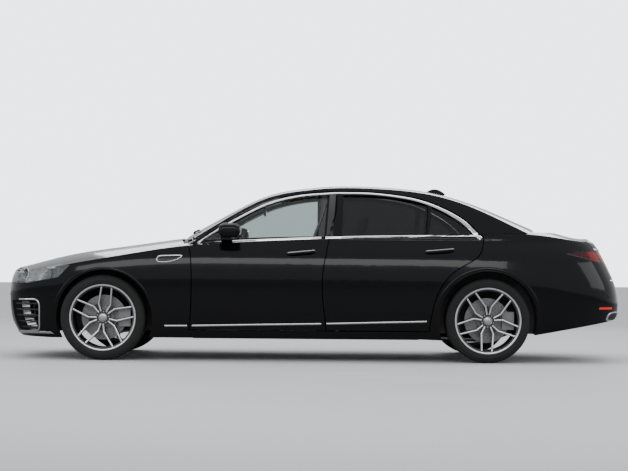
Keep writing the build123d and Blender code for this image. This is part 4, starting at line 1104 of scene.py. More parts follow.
def exhaust_trim(side, side_name):
    """Bright ring round the exhaust mouth, with a dark sheet across the mouth that paints the
    shade inside it.
    """
    ring = [Vector((BEHIND_X, side * (EXHAUST_Y + a), EXHAUST_Z + b))
            for a, b in oval(0.105, 0.036, 40, power=0.6)]
    trim(Shape(), ring + ring[:1], 0.014, 0.008, REAR_SKIN, INTO_TAIL, step=0.05).make(
        "exhaust_trim_" + side_name, CHROME, "body", "trim_chrome")
    middle = side * EXHAUST_Y
    # The dark sheet over the mouth is painted shade of the opening.
    rear_patch("exhaust_mouth_" + side_name, (middle - 0.095, middle + 0.095, 0.360, 0.416, 10, 4),
               0.002, 0.004, SEAL, "body", "black_plastic")


rear_bar("lid_chrome", 0.622, 0.958, "boot_lid", 24)
rear_bar("rear_bumper_chrome", 0.46, 0.372, "body", 16)
rear_patch("rear_plate_blank", (-0.26, 0.26, 0.755, 0.865, 12, 4), 0.010, 0.0, PLATE,
           "boot_lid", "black_plastic", bevel=0.001)
rear_patch("rear_plate_holder", (-0.268, 0.268, 0.747, 0.873, 12, 4), 0.0085, 0.006, PLASTIC,
           "boot_lid", "black_plastic", bevel=0.001)
for side, side_name in SIDES:
    exhaust_trim(side, side_name)
    middle = side * REFLECTOR_Y
    # The reflectors glow with the red lamp finish: painted light standing in for the light they
    # send back.
    rear_patch("rear_reflector_" + side_name, (middle - 0.055, middle + 0.055, 0.452, 0.470, 8, 2),
               0.002, 0.003, RED_LAMP_AND_REFLECTOR_GLOW, "body", "lamp_red")
sensor_dots("rear_sensors", REAR_SKIN, INTO_TAIL, BEHIND_X,
            [(-0.72, 0.560), (-0.30, 0.540), (0.30, 0.540), (0.72, 0.560)])
tow_cap("tow_cap_rear", REAR_SKIN, INTO_TAIL, BEHIND_X)

# ---------------------------------------------------------------- seats

PAD_CELLS = (40, 32)
# Shares of a pad's thickness over and under its middle plane, and where its bolsters start.
CROWN_SHARE = 0.62
UNDER_SHARE = 0.38
BOLSTER_START = 0.52
VOXEL = 0.0085
PRESSURE = 4.0
SWELL_STEPS = 20
SWELL_CAP = 0.024
CHANNEL_DEPTH = 0.006
CHANNEL_SPREAD = 0.07
SEAM_HALF = 0.005
BOLSTER_SEAMS = (0.20, 0.80)
CHANNEL_ENDS = (0.08, 0.94)


def pillow(origin, length, width, normal, thick, bolster):
    """A closed cushion: crowned on top, flatter below, with raised side bolsters."""
    u_count, v_count = PAD_CELLS
    top = []
    under = []
    for u in steps_between(0.0, 1.0, u_count):
        for v in steps_between(0.0, 1.0, v_count):
            edge = (1 - abs(2 * u - 1) ** 7) * (1 - abs(2 * v - 1) ** 7)
            full = max(edge, 0.0) ** 0.4
            reach = (abs(2 * v - 1) - BOLSTER_START) / (1 - BOLSTER_START)
            side = bolster * max(0.0, reach) ** 1.2
            place = origin + length * u + width * v
            top.append(place + normal * (thick + side) * full * CROWN_SHARE)
            under.append(place - normal * thick * full * UNDER_SHARE)
    columns = v_count + 1
    count = len(top)
    faces = []
    for i in range(u_count):
        for j in range(v_count):
            a = i * columns + j
            quad = (a, a + 1, a + 1 + columns, a + columns)
            faces += [quad, tuple(count + k for k in quad[::-1])]
    return Shape().add(top + under, faces)


def swelled(obj):
    """Swell a pad by cloth simulation, with each point's travel capped."""
    start = [v.co.copy() for v in obj.data.vertices]
    cloth = obj.modifiers.new("cloth", "CLOTH")
    cloth.settings.use_pressure = True
    cloth.settings.uniform_pressure_force = PRESSURE
    cloth.settings.effector_weights.gravity = 0.0
    cloth.point_cache.frame_start = 1
    cloth.point_cache.frame_end = SWELL_STEPS
    for step in range(1, SWELL_STEPS + 1):
        bpy.context.scene.frame_set(step)
    obj.data = baked(obj)
    obj.modifiers.clear()
    bpy.context.scene.frame_set(1)
    for vertex, rest in zip(obj.data.vertices, start):
        travel = vertex.co - rest
        if travel.length > SWELL_CAP:
            vertex.co = rest + travel.normalized() * SWELL_CAP
    finer = obj.modifiers.new("finer", "SUBSURF")
    finer.levels = finer.render_levels = 1
    obj.data = baked(obj)
    obj.modifiers.clear()


def stuffed(shape, name):
    """A pad with an even mesh, swelled."""
    mesh = shape.mesh(name)
    work = bmesh.new()
    work.from_mesh(mesh)
    bmesh.ops.remove_doubles(work, verts=work.verts, dist=JOIN_DISTANCE)
    bmesh.ops.recalc_face_normals(work, faces=work.faces)
    work.to_mesh(mesh)
    work.free()
    obj = linked(name, mesh)
    remesh = obj.modifiers.new("remesh", "REMESH")
    remesh.mode = "VOXEL"
    remesh.voxel_size = VOXEL
    obj.data = baked(obj)
    obj.modifiers.clear()
    swelled(obj)
    return obj


def quilted(obj, origin, length, width, normal, channels):
    """Press sewn channels across the middle panel, and a seam beside each bolster."""
    along = length.normalized()
    over = width.normalized()
    front, back = CHANNEL_ENDS
    near, far = BOLSTER_SEAMS
    for vertex in obj.data.vertices:
        offset = vertex.co - origin
        u = offset.dot(along) / length.length
        v = offset.dot(over) / width.length
        if offset.dot(normal) < 0.0 or not front < u < back:
            continue
        press = 0.0
        if near < v < far:
            phase = (u - front) / (back - front) * channels
            press = CHANNEL_DEPTH * math.exp(-((phase - round(phase)) / CHANNEL_SPREAD) ** 2)
        for seam in BOLSTER_SEAMS:
            groove = math.exp(-((v - seam) * width.length / SEAM_HALF) ** 2)
            press = max(press, CHANNEL_DEPTH * 1.3 * groove)
        vertex.co -= normal * press


def seat_pad(name, origin, length, width, normal, thick, bolster, channels, shifts,
             replaced=None):
    """One pad for each seat of a row: simulated once, then copied across the car."""
    origin, length, width, normal = (Vector(v) for v in (origin, length, width, normal))
    normal = normal.normalized()
    pattern = stuffed(pillow(origin, length, width, normal, thick, bolster), name)
    if channels:
        quilted(pattern, origin, length, width, normal, channels)
    for word, shift in shifts:
        mesh = pattern.data.copy()
        mesh.transform(Matrix.Translation((0, shift, 0)))
        mesh.materials.clear()
        mesh.materials.append(LEATHER)
        mesh.shade_smooth()
        pad = placed(f"{name}_{word}", mesh, "body")
        if replaced and word == "left":
            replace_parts(pad, replaced)
    bpy.data.objects.remove(pattern)


FRONT_SEATS = (("left", 0.0), ("right", 0.74))
REAR_SEATS = (("left", 0.0), ("right", 0.71))
MIDDLE = (("middle", 0.0),)
LEANING = (-0.97, 0, 0.25)
UPRIGHT = (-0.98, 0, 0.2)
LEVEL = (0.02, 0, 1)
# Corner, length, width and normal; then thickness, bolsters' height and sewn channels.
seat_pad("front_cushion", (-0.305, -0.612, 0.480), (0.500, 0, -0.012), (0, 0.484, 0), LEVEL,
         0.100, 0.030, 5, FRONT_SEATS, "front_seats")
seat_pad("front_backrest", (0.262, -0.605, 0.530), (0.135, 0, 0.505), (0, 0.470, 0), LEANING,
         0.088, 0.030, 6, FRONT_SEATS)
seat_pad("front_headrest", (0.412, -0.485, 1.078), (0.032, 0, 0.150), (0, 0.230, 0), UPRIGHT,
         0.062, 0.0, 0, FRONT_SEATS)
seat_pad("rear_cushion", (0.680, -0.618, 0.545), (0.490, 0, -0.012), (0, 0.526, 0), LEVEL,
         0.100, 0.022, 5, REAR_SEATS, "rear_seats")
seat_pad("rear_backrest", (1.248, -0.612, 0.590), (0.125, 0, 0.375), (0, 0.514, 0), LEANING,
         0.088, 0.026, 5, REAR_SEATS)
seat_pad("rear_headrest", (1.398, -0.470, 1.010), (0.028, 0, 0.130), (0, 0.230, 0), UPRIGHT,
         0.060, 0.0, 0, REAR_SEATS)
seat_pad("rear_armrest", (0.760, -0.060, 0.600), (0.410, 0, 0.0), (0, 0.120, 0), UPWARD,
         0.060, 0.0, 0, MIDDLE)
seat_pad("rear_middle_back", (1.250, -0.062, 0.600), (0.115, 0, 0.360), (0, 0.124, 0), LEANING,
         0.060, 0.0, 0, MIDDLE)

FRONT_SEAT_Y = 0.37
REAR_SEAT_Y = 0.355
SHELL_LINE = ((0.262, 0.420), (0.330, 0.600), (0.392, 0.800), (0.448, 1.010))
POST_RADIUS = 0.006


def headrest_posts(shape, y, low, high):
    """Two posts between two places (x, z)."""
    for post_y in (y - 0.06, y + 0.06):
        shape.tube([Vector((low[0], post_y, low[1])), Vector((high[0], post_y, high[1]))],
                   POST_RADIUS, 10)
    return shape


def front_seat_frame(side, side_name):
    """Base, back shell and rails with headrest posts of a front seat."""
    y = side * FRONT_SEAT_Y
    rounded_box("front_seat_base_" + side_name, (-0.270, y - 0.215, 0.262),
                (0.160, y + 0.215, 0.395), 0.018, PLASTIC, "body", "black_plastic")
    shell = Shape().sweep([Vector((x, y, z)) for x, z in SHELL_LINE],
                          [(-0.205, -0.018), (0.205, -0.018), (0.190, 0.016), (-0.190, 0.016)],
                          up=ALONG)
    shell.make("front_seat_shell_" + side_name, DARK_LEATHER, "body", "dash_leather",
               bevel=0.010)
    rails = Shape()
    for rail_y in (y - 0.165, y + 0.165):
        rails.block((-0.300, rail_y - 0.018, 0.241), (0.215, rail_y + 0.018, 0.264))
    headrest_posts(rails, y, (0.425, 1.000), (0.437, 1.110))
    rails.make("front_seat_rails_" + side_name, SATIN, "body", "brake_steel", bevel=0.003)


def rear_seat_frame(side, side_name):
    """Base and headrest posts of a rear seat."""
    y = side * REAR_SEAT_Y
    rounded_box("rear_seat_base_" + side_name, (0.700, y - 0.245, 0.241),
                (1.165, y + 0.245, 0.470), 0.020, CARPET, "body", "cabin_leather")
    posts = headrest_posts(Shape(), y, (1.405, 0.930), (1.412, 1.040))
    posts.make("rear_headrest_posts_" + side_name, SATIN, "body", "brake_steel")


for side, side_name in SIDES:
    front_seat_frame(side, side_name)
    rear_seat_frame(side, side_name)


# ---------------------------------------------------------------- doors and roof from inside

DOOR_INSIDE_Y = 0.85
ARMREST_Z = 0.655
POCKET_Z = 0.415
CARD_THICKNESS = 0.003
WOOD_HEIGHT = 0.019
UNDER_ROOF_Z = 0.9
CARDS = {"front_door": (-0.960, 0.005), "rear_door": (0.190, 0.945)}


def lining(name, side, xs, zs, depth, material, node, slot):
    """A moulded panel on a door's inner face; depth(x, z) is how far it stands in."""
    skin = skin_of(node)
    way = ACROSS * side
    grid = []
    last = way * DOOR_INSIDE_Y
    for z in zs:
        row = []
        for x in xs:
            last = landed(skin, Vector((x, 0, z)), way) or Vector((x, last.y, z))
            row.append(last - way * depth(x, z))
        grid.append(row)
    return Shape().slab(grid, way * CARD_THICKNESS).make(name, material, node, slot)


def card_depth(x_low, x_high):
    """Height of a door card over the door's inner face, with its armrest and map pocket."""
    def depth(x, z):
        ends = min(1.0, (x - x_low) / 0.03, (x_high - x) / 0.03)
        arm = 0.050 * math.exp(-((z - ARMREST_Z) / 0.038) ** 4)
        arm *= min(1.0, max(0.0, (x - x_low - 0.10) / 0.08), max(0.0, (x_high - x - 0.03) / 0.05))
        pocket = 0.028 * math.exp(-((z - POCKET_Z) / 0.060) ** 4)
        return 0.006 + (0.008 + arm + pocket) * max(ends, 0.0)
    return depth


def door_card(door, side, side_name):
    """Dark lower card, pale upper card and a wood strip on one door."""
    node = f"{door}_{side_name}"
    x_low, x_high = CARDS[door]
    xs = steps_between(x_low, x_high, 40)
    depth = card_depth(x_low, x_high)
    lining(f"{door}_card_lower_{side_name}", side, xs, steps_between(0.340, 0.700, 36), depth,
           DARK_LEATHER, node, "dash_leather")
    lining(f"{door}_card_upper_{side_name}", side, xs, steps_between(0.702, 0.930, 20), depth,
           LEATHER, node, "cabin_leather")
    lining(f"{door}_wood_{side_name}", side, steps_between(x_low + 0.03, x_high - 0.03, 30),
           steps_between(0.790, 0.822, 4), lambda x, z: WOOD_HEIGHT, WOOD, node,
           "dash_leather")


def roof_cloth(name, xs, ys, lift, sink, bevel=0.0):
    """A cloth sheet under the roof."""
    grid = [[Vector((x, y, UNDER_ROOF_Z)) for y in ys] for x in xs]
    sheet = patch(Shape(), grid, ROOF_SKIN, UPWARD, lift, sink)
    sheet.make(name, CLOTH, "body", "cabin_leather", bevel)


for side, side_name in SIDES:
    for door in CARDS:
        door_card(door, side, side_name)
roof_cloth("headliner", steps_between(-0.270, 1.200, 40), steps_between(-0.530, 0.530, 24),
           0.005, 0.0)
for side, side_name in SIDES:
    roof_cloth("sun_visor_" + side_name, steps_between(-0.250, -0.120, 8),
               steps_between(side * 0.10, side * 0.44, 12), 0.026, -0.008, bevel=0.004)


# ---------------------------------------------------------------- dashboard

DASH_HALF = 0.695
# Sections across the car, as (x, z).
DASH = ((-1.000, 0.952), (-0.900, 0.958), (-0.790, 0.955), (-0.715, 0.940), (-0.668, 0.912),
        (-0.650, 0.870), (-0.655, 0.815), (-0.685, 0.770), (-0.730, 0.700), (-0.790, 0.640),
        (-0.880, 0.615), (-1.000, 0.622))
DASH_BAND = ((-0.660, 0.812), (-0.646, 0.816), (-0.644, 0.850), (-0.650, 0.868),
             (-0.664, 0.868))
COLUMN_SHROUD = ((0.0, 0.0), (0.040, 0.0), (0.044, -0.006), (0.045, -0.130), (0.0, -0.130))
SHROUD_PLACE = Vector((-0.640, -0.370, 0.846))
SHROUD_WAY = Vector((0.927, 0, 0.375))
# Centre, half width, half height and lean of each screen.
SCREENS = (((-0.705, -0.370, 0.965), 0.155, 0.055, Vector((0.30, 0, 1))),
           ((-0.628, 0.0, 0.830), 0.115, 0.105, Vector((-0.42, 0, 1))))
SCREEN_CORNER = 0.018
SCREEN_THICKNESS = 0.012
VENT_YS = (-0.610, -0.150, -0.085, 0.085, 0.150, 0.610)
VENT_WAY = Vector((0.93, 0, 0.36)).normalized()
VENT_RIM = ((0.030, -0.010), (0.031, 0.006), (0.028, 0.010), (0.0255, 0.006),
            (0.0255, -0.010))
VENT_BOSS = ((0.0, 0.007), (0.006, 0.006), (0.007, 0.0), (0.007, -0.008))
VENT_BORE = 0.0255


def across_car(section, half, count):
    """A section (x, z) carried straight across the car."""
    path = [Vector((0, y, 0)) for y in steps_between(-half, half, count)]
    return Shape().sweep(path, [(-x, z) for x, z in section])


def screen_ring(centre, half, tall, lean):
    """Outline of a screen with rounded corners."""
    ring = []
    for k in range(32):
        angle = 2 * math.pi * (k + 0.5) / 32
        a = math.copysign(half - SCREEN_CORNER, math.cos(angle)) + SCREEN_CORNER * math.cos(angle)
        b = math.copysign(tall - SCREEN_CORNER, math.sin(angle)) + SCREEN_CORNER * math.sin(angle)
        ring.append(centre + ACROSS * a + lean * b)
    return ring


def dashboard_screens():
    """The driver's display and the middle touch screen."""
    screens = Shape()
    for centre, half, tall, lean in SCREENS:
        lean = lean.normalized()
        ring = screen_ring(Vector(centre), half, tall, lean)
        face = -lean.cross(ACROSS).normalized()
        screens.lofted([ring, [p - face * SCREEN_THICKNESS for p in ring]])
    screens.make("dashboard_screens", SCREEN, "body", "dash_leather", bevel=0.0015)


def dashboard_vents():
    """Round vents: a bright rim, six vanes and a boss."""
    vents = Shape()
    vanes = Shape()
    over = VENT_WAY.cross(ACROSS)
    for y in VENT_YS:
        centre = Vector((-0.652, y, 0.892))
        vents.turned(VENT_RIM, centre, VENT_WAY, ACROSS, steps=36, closed=True)
        for k in range(6):
            angle = math.pi * k / 6
            arm = (ACROSS * math.cos(angle) + over * math.sin(angle)) * VENT_BORE
            vanes.sweep([centre - arm, centre + arm],
                        [(-0.001, -0.006), (0.001, -0.006), (0.001, 0.004), (-0.001, 0.004)],
                        up=VENT_WAY)
        vanes.turned(VENT_BOSS, centre, VENT_WAY, ACROSS, steps=16)
    vents.make("dashboard_vents", SATIN, "body", "dash_leather")
    vanes.make("dashboard_vent_vanes", PLASTIC, "body", "dash_leather")


dash = across_car(DASH, DASH_HALF, 40)
dash.turned(COLUMN_SHROUD, SHROUD_PLACE, SHROUD_WAY, ACROSS, steps=32)
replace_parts(dash.make("dashboard_shown", DARK_LEATHER, "body", "dash_leather"), "dashboard")
across_car(DASH_BAND, 0.680, 20).make("dashboard_wood", WOOD, "body", "dash_leather")
dashboard_screens()
dashboard_vents()

# ---------------------------------------------------------------- steering wheel

WHEEL_CENTRE = Vector((-0.5805, -0.370, 0.870))
COLUMN_ANGLE = math.radians(22)
COLUMN = Vector((math.cos(COLUMN_ANGLE), 0, math.sin(COLUMN_ANGLE)))
WHEEL_DOWN = -COLUMN.cross(ACROSS).normalized()
GRIP_RADIUS = 0.171
WHEEL_BOSS = ((0.0, 0.010), (0.030, 0.009), (0.052, 0.004), (0.062, -0.006), (0.064, -0.020),
              (0.040, -0.045), (0.019, -0.050), (0.019, -0.072), (0.0, -0.072))

grip = Shape().turned([(GRIP_RADIUS + a, b) for a, b in oval(0.0135, 0.0155, 14)],
                      WHEEL_CENTRE, COLUMN, ACROSS, steps=72, closed=True)
grip.turned(WHEEL_BOSS, WHEEL_CENTRE, COLUMN, ACROSS, steps=48)
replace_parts(grip.make("steering_wheel_shown", DARK_LEATHER, "steering_wheel", "dash_leather"),
            "steering_wheel")
spokes = Shape()
for way in (ACROSS, -ACROSS, WHEEL_DOWN):
    for shift in (-0.011, 0.011):
        aside = way.cross(COLUMN).normalized() * shift
        spokes.sweep([WHEEL_CENTRE + way * 0.050 + aside,
                      WHEEL_CENTRE + way * 0.110 + aside * 1.3 - COLUMN * 0.004,
                      WHEEL_CENTRE + way * 0.163 + aside * 1.6],
                     [(-0.007, -0.006), (0.007, -0.006), (0.007, 0.004), (-0.007, 0.004)],
                     up=COLUMN)
spokes.make("steering_wheel_spokes", GLOSS_BLACK, "steering_wheel", "dash_leather", bevel=0.002)

# ---------------------------------------------------------------- console, floor and pedals

MAT_THICKNESS = 0.007
# y, foot's z, height and half width of the accelerator and the brake.
PEDALS = ((-0.300, 0.275, 0.145, 0.024), (-0.395, 0.330, 0.070, 0.038))

rounded_box("console_wood", (-0.600, -0.064, 0.560), (-0.255, 0.064, 0.570), 0.003, WOOD,
            "body", "dash_leather")
console_edges = Shape()
for y in (-0.066, 0.066):
    console_edges.block((-0.610, y - 0.002, 0.559), (-0.250, y + 0.002, 0.574))
console_edges.make("console_chrome", CHROME, "body", "trim_chrome", bevel=0.001)
rounded_box("console_armrest", (-0.235, -0.069, 0.562), (0.130, 0.069, 0.610), 0.016, LEATHER,
            "body", "cabin_leather")
rounded_box("console_rear_panel", (0.622, -0.064, 0.300), (0.634, 0.064, 0.555), 0.004, SCREEN,
            "body", "dash_leather")

carpet = Shape()
carpet.block((-0.990, -0.740, 0.2372), (0.690, -0.074, FLOOR_Z))
carpet.block((-0.990, 0.074, 0.2372), (0.690, 0.740, FLOOR_Z))
carpet.make("cabin_carpet", CARPET, "body", "cabin_leather")
mats = Shape()
for x_low, x_high in ((-0.930, -0.350), (0.270, 0.640)):
    for y_low, y_high in ((-0.660, -0.140), (0.140, 0.660)):
        mats.block((x_low, y_low, FLOOR_Z), (x_high, y_high, FLOOR_Z + MAT_THICKNESS))
mats.make("floor_mats", DARK_LEATHER, "body", "cabin_leather", bevel=0.003)


def foot_pedals():
    """Accelerator and brake: a leaning pad on a hanging arm each."""
    pedals = Shape()
    lean = Vector((-0.45, 0, 1)).normalized()
    for y, z_low, tall, half in PEDALS:
        foot = Vector((-0.880, y, z_low))
        pedals.sweep([foot, foot + lean * tall],
                     [(-half, -0.005), (half, -0.005), (half, 0.005), (-half, 0.005)],
                     up=Vector((1, 0, 0.45)))
        pedals.sweep([Vector((-0.898, y, z_low + 0.03)), Vector((-0.960, y, 0.560)),
                      Vector((-0.975, y, 0.630))],
                     [(-0.006, -0.01), (0.006, -0.01), (0.006, 0.01), (-0.006, 0.01)], up=ALONG)
    pedals.make("pedals", SATIN, "body", "brake_steel", bevel=0.002)


foot_pedals()

rounded_box("rear_view_mirror", (-0.452, -0.110, 1.235), (-0.430, 0.110, 1.300), 0.008, PLASTIC,
            "body", "black_plastic")
rounded_box("rear_view_glass", (-0.4305, -0.102, 1.241), (-0.4285, 0.102, 1.294), 0.0008, MIRROR,
            "body", "trim_chrome")
stalk = Shape().tube([Vector((-0.442, 0, 1.290)), Vector((-0.455, 0, 1.325)),
                      Vector((-0.445, 0, 1.372))], 0.008, 10)
stalk.make("rear_view_stalk", PLASTIC, "body", "black_plastic")

rounded_box("boot_carpet", (1.560, -0.530, 0.4525), (2.400, 0.530, 0.4600), 0.002, CARPET,
            "body", "cabin_leather")
for side, side_name in SIDES:
    boot_side = Shape().sweep([Vector((1.540, side * 0.579, 0)), Vector((2.300, side * 0.579, 0)),
                               Vector((2.400, side * 0.560, 0))],
                              [(-0.004, 0.4602), (0.004, 0.4602), (0.004, 0.880),
                               (-0.004, 0.880)])
    boot_side.make("boot_lining_" + side_name, CARPET, "body", "cabin_leather", bevel=0.002)


# ---------------------------------------------------------------- wipers

SCREEN_SKIN = skin_of("windscreen")
SCREEN_WAY = Vector((0.45, 0, -0.89)).normalized()
SCREEN_BOW = 0.30
# The spindle's y, then where the blade begins and ends across the screen.
WIPERS = ((-0.420, -0.520, 0.040), (0.160, 0.080, 0.500))
BLADE = ((-0.007, -0.004), (0.007, -0.004), (0.004, 0.004), (0.001, 0.010), (-0.001, 0.010),
         (-0.004, 0.004))
BLADE_LIFT = 0.010
SPINDLE = ((0.0, 0.012), (0.010, 0.010), (0.014, 0.004), (0.014, -0.010))


def wipers():
    """Two blades at rest along the foot of the screen, each on an arm and a spindle."""
    blades = Shape()
    arms = Shape()
    for y_root, y_near, y_far in WIPERS:
        blade = []
        for y in steps_between(y_near, y_far, 16):
            place = Vector((-1.066 + SCREEN_BOW * y * y, y, 1.30))
            hit = landed(SCREEN_SKIN, place, -UPWARD)
            if hit is not None:
                blade.append(hit - SCREEN_WAY * BLADE_LIFT)
        blades.sweep(blade, BLADE)
        middle = blade[len(blade) // 2]
        root = Vector((-1.096 + SCREEN_BOW * y_root * y_root, y_root, 1.014))
        arms.sweep([root, root.lerp(middle, 0.5) + UPWARD * 0.004, middle + UPWARD * 0.005],
                   [(-0.008, -0.003), (0.008, -0.003), (0.005, 0.004), (-0.005, 0.004)])
        arms.turned(SPINDLE, root, UPWARD, ALONG, steps=20)
    blades.make("wiper_blades", SEAL, "body", "black_plastic")
    arms.make("wiper_arms", PLASTIC, "body", "black_plastic")


wipers()

# ---------------------------------------------------------------- door mirrors

MIRROR_Y = 0.962
MIRROR_Z = 1.090
MIRROR_HALF = (0.068, 0.043)


def mirror_details(side, side_name):
    """Silvered glass, an indicator strip and the shell's seam on one door mirror."""
    body = "front_door_" + side_name
    skin = skin_of("door_mirror_" + side_name)
    wide, tall = MIRROR_HALF
    grid = []
    for b in steps_between(-1.0, 1.0, 8):
        half = wide * (1 - abs(b) ** 3) ** 0.33
        grid.append([Vector((-0.30, side * MIRROR_Y + half * a, MIRROR_Z + tall * b))
                     for a in steps_between(-1.0, 1.0, 12)])
    patch(Shape(), grid, skin, INTO_TAIL, lift=0.0015, sink=0.003).make(
        "mirror_glass_" + side_name, MIRROR, body, "trim_chrome")
    signal = [Vector((-1.0, side * (0.905 + 0.012 * k), 1.096 + 0.0006 * k)) for k in range(11)]
    trim(Shape(), signal, 0.009, 0.002, skin, INTO_NOSE).make(
        "mirror_indicator_" + side_name, LAMP_WHITE, body, "lamp_clear")
    seam = [Vector((-1.0, side * (0.880 + 0.014 * k), 1.048)) for k in range(11)]
    trim(Shape(), seam, 0.003, 0.0006, skin, INTO_NOSE).make(
        "mirror_seam_" + side_name, SEAL, body, "black_plastic")


for side, side_name in SIDES:
    mirror_details(side, side_name)


# ---------------------------------------------------------------- roof fin and fuel flap

FIN_SECTION = ((-1, -0.1), (-0.85, 0.35), (-0.35, 0.85), (0, 1), (0.35, 0.85), (0.85, 0.35),
               (1, -0.1))
FLAP_X = 1.985
FLAP_Z = 0.905
FIN_START_X = 0.985
FIN_LENGTH = 0.145
FIN_TOP_Z = 1.5025
FIN_RISE = 0.046
FIN_HALF = 0.016
FIN_RAKE = 0.030


def roof_fin():
    """Aerial fin that rises towards the back of the roof."""
    rows = []
    for t in steps_between(0.0, 1.0, 8):
        x = FIN_START_X + FIN_LENGTH * t
        foot = landed(ROOF_SKIN, Vector((x, 0, 1.8)), -UPWARD)
        rise = FIN_RISE * math.sin(math.pi * (0.9 * t + 0.02)) ** 0.8
        half = FIN_HALF * math.sin(math.pi * (0.08 + 0.84 * t)) ** 0.6
        rows.append([Vector((x + FIN_RAKE * max(b, 0) * t, a * half,
                             min(foot.z + b * rise, FIN_TOP_Z))) for a, b in FIN_SECTION])
    Shape().lofted(rows).make("roof_fin", PAINT, "body", "body_paint")


roof_fin()
flap = [(FLAP_X + a, FLAP_Z + b) for a, b in oval(0.078, 0.066, 32, power=0.5)]
side_trim("fuel_flap_seam", 1, "body", [(flap + flap[:1], 0.0025, 0.0006, 0.03)], SEAL,
          "black_plastic")


# ---------------------------------------------------------------- pillar covers and arch lips

COVER_LEAN = 0.028
COVERS = {"front_door": (0.030, 0.080, 1.046, 1.410), "rear_door": (0.098, 0.150, 1.050, 1.410)}
# Axle's x, radius, width and height of each wheel arch's lip.
ARCHES = {"rear": (REAR_AXLE_X, 0.437, 0.026, 0.0028),
          "front": (FRONT_AXLE_X, 0.418, 0.020, 0.0022)}
ARCH_CENTRE_Z = 0.352


def pillar_cover(door, side, side_name):
    """Black cover on the window frame beside the middle pillar."""
    x_low, x_high, z_low, z_high = COVERS[door]
    grid = [[Vector((x + COVER_LEAN * t, BESIDE_Y * side, z_low + (z_high - z_low) * t))
             for x in steps_between(x_low, x_high, 4)] for t in steps_between(0.0, 1.0, 16)]
    cover = patch(Shape(), grid, SIDE_SKIN[side], ACROSS * -side, lift=0.0012, sink=0.002)
    cover.make(f"{door}_pillar_cover_{side_name}", PLASTIC, f"{door}_{side_name}",
               "black_plastic")


def arch_lip(end, side, side_name):
    """Rolled lip round a wheel arch."""
    axle_x, radius, width, rise = ARCHES[end]
    arc = [(axle_x + radius * math.cos(angle), ARCH_CENTRE_Z + radius * math.sin(angle))
           for angle in steps_between(math.radians(14), math.radians(166), 32)]
    side_trim(f"{end}_arch_lip_{side_name}", side, "body", [(arc, width, rise)], PAINT,
              "body_paint")


for side, side_name in SIDES:
    for door in COVERS:
        pillar_cover(door, side, side_name)
    for end in ARCHES:
        arch_lip(end, side, side_name)


# ---------------------------------------------------------------- engine bay

COVER_SECTION = ((-0.235, 0.782), (0.235, 0.782), (0.232, 0.800), (0.190, 0.822),
                 (0.060, 0.830), (-0.060, 0.830), (-0.190, 0.822), (-0.232, 0.800))
RIB_LINE = ((-0.205, 0.815), (-0.070, 0.8285), (0.070, 0.8285), (0.205, 0.815))
RUNNER_LINE = ((0.255, 0.700), (0.300, 0.735), (0.330, 0.700), (0.335, 0.620))
STRUT_TOP = ((0.0, 0.030), (0.024, 0.029), (0.030, 0.020), (0.032, 0.006), (0.075, 0.0),
             (0.090, -0.008), (0.094, -0.030), (0.094, -0.100))
# Low corner, high corner, rounding and finish of what stands round the engine.
BAY_BOXES = {
    "battery": ((-1.330, 0.420, 0.640), (-1.180, 0.680, 0.810), 0.008, PLASTIC),
    "brake_servo": ((-1.320, -0.500, 0.620), (-1.180, -0.330, 0.790), 0.030, PLASTIC),
    "air_filter_box": ((-2.240, 0.120, 0.500), (-2.020, 0.480, 0.690), 0.020, PLASTIC),
    "coolant_tank": ((-2.220, -0.460, 0.520), (-2.060, -0.260, 0.680), 0.022, PLATE),
}


def engine_top():
    """Moulded engine cover with ribs, and the runners and rails on both banks."""
    cover = Shape().sweep([Vector((x, 0, 0)) for x in steps_between(-1.930, -1.330, 24)],
                          COVER_SECTION)
    cover.make("engine_cover", PLASTIC, "body", "structure", bevel=0.004)
    ribs = Shape()
    for x in steps_between(-1.870, -1.390, 6):
        ribs.sweep([Vector((x, y, z)) for y, z in RIB_LINE],
                   [(-0.006, -0.004), (0.006, -0.004), (0.004, 0.005), (-0.004, 0.005)])
    ribs.make("engine_cover_ribs", SATIN, "body", "structure", bevel=0.001)
    runners = Shape()
    for x in steps_between(-1.900, -1.375, 5):
        for side, _ in SIDES:
            runners.tube(smooth_path([(x, side * y, z) for y, z in RUNNER_LINE]), 0.017)
    runners.make("engine_runners", SATIN, "body", "structure")
    rails = Shape()
    for side, _ in SIDES:
        rails.tube([Vector((x, side * 0.336, 0.612)) for x in (-1.930, -1.340)], 0.026, 16)
    rails.make("engine_rails", IRON, "body", "structure")


def radiator():
    """Core of upright fins between two tanks."""
    core = Shape()
    for y in steps_between(-0.380, 0.380, 47):
        core.block((-2.372, y - 0.003, 0.260), (-2.340, y + 0.003, 0.640))
    core.block((-2.376, -0.400, 0.235), (-2.336, 0.400, 0.262))
    core.block((-2.376, -0.400, 0.638), (-2.336, 0.400, 0.662))
    core.make("radiator", IRON, "body", "structure")


engine_top()
radiator()
for side, side_name in SIDES:
    Shape().turned(STRUT_TOP, Vector((FRONT_AXLE_X, side * 0.515, 0.790)), UPWARD, ALONG,
                   steps=40).make("strut_top_" + side_name, UNDERSIDE, "body", "underbody")
for box_name, (low, high, radius, box_finish) in BAY_BOXES.items():
    rounded_box(box_name, low, high, radius, box_finish, "body", "structure")


# ---------------------------------------------------------------- underside

FLOOR_SKIN = skin_of("floor_pan")
RIB_YS = (-0.700, -0.560, -0.420, 0.420, 0.560, 0.700)
STUD_YS = (-0.630, -0.490, 0.490, 0.630)
STUD = ((0.0, 0.004), (0.007, 0.004), (0.011, 0.0), (0.011, -0.003))
PIPE = ((0.915, 0.12, 0.185), (1.150, 0.13, 0.178), (1.450, 0.20, 0.178), (1.650, 0.38, 0.230),
        (1.790, 0.49, 0.330), (1.900, 0.50, 0.370))
TAILPIPE = ((2.280, 0.50, 0.370), (2.380, 0.55, 0.380), (2.460, 0.60, 0.388))
SHAFT_JOINTS = ((-1.290, 0.262), (-0.950, 0.196), (1.382, 0.196))


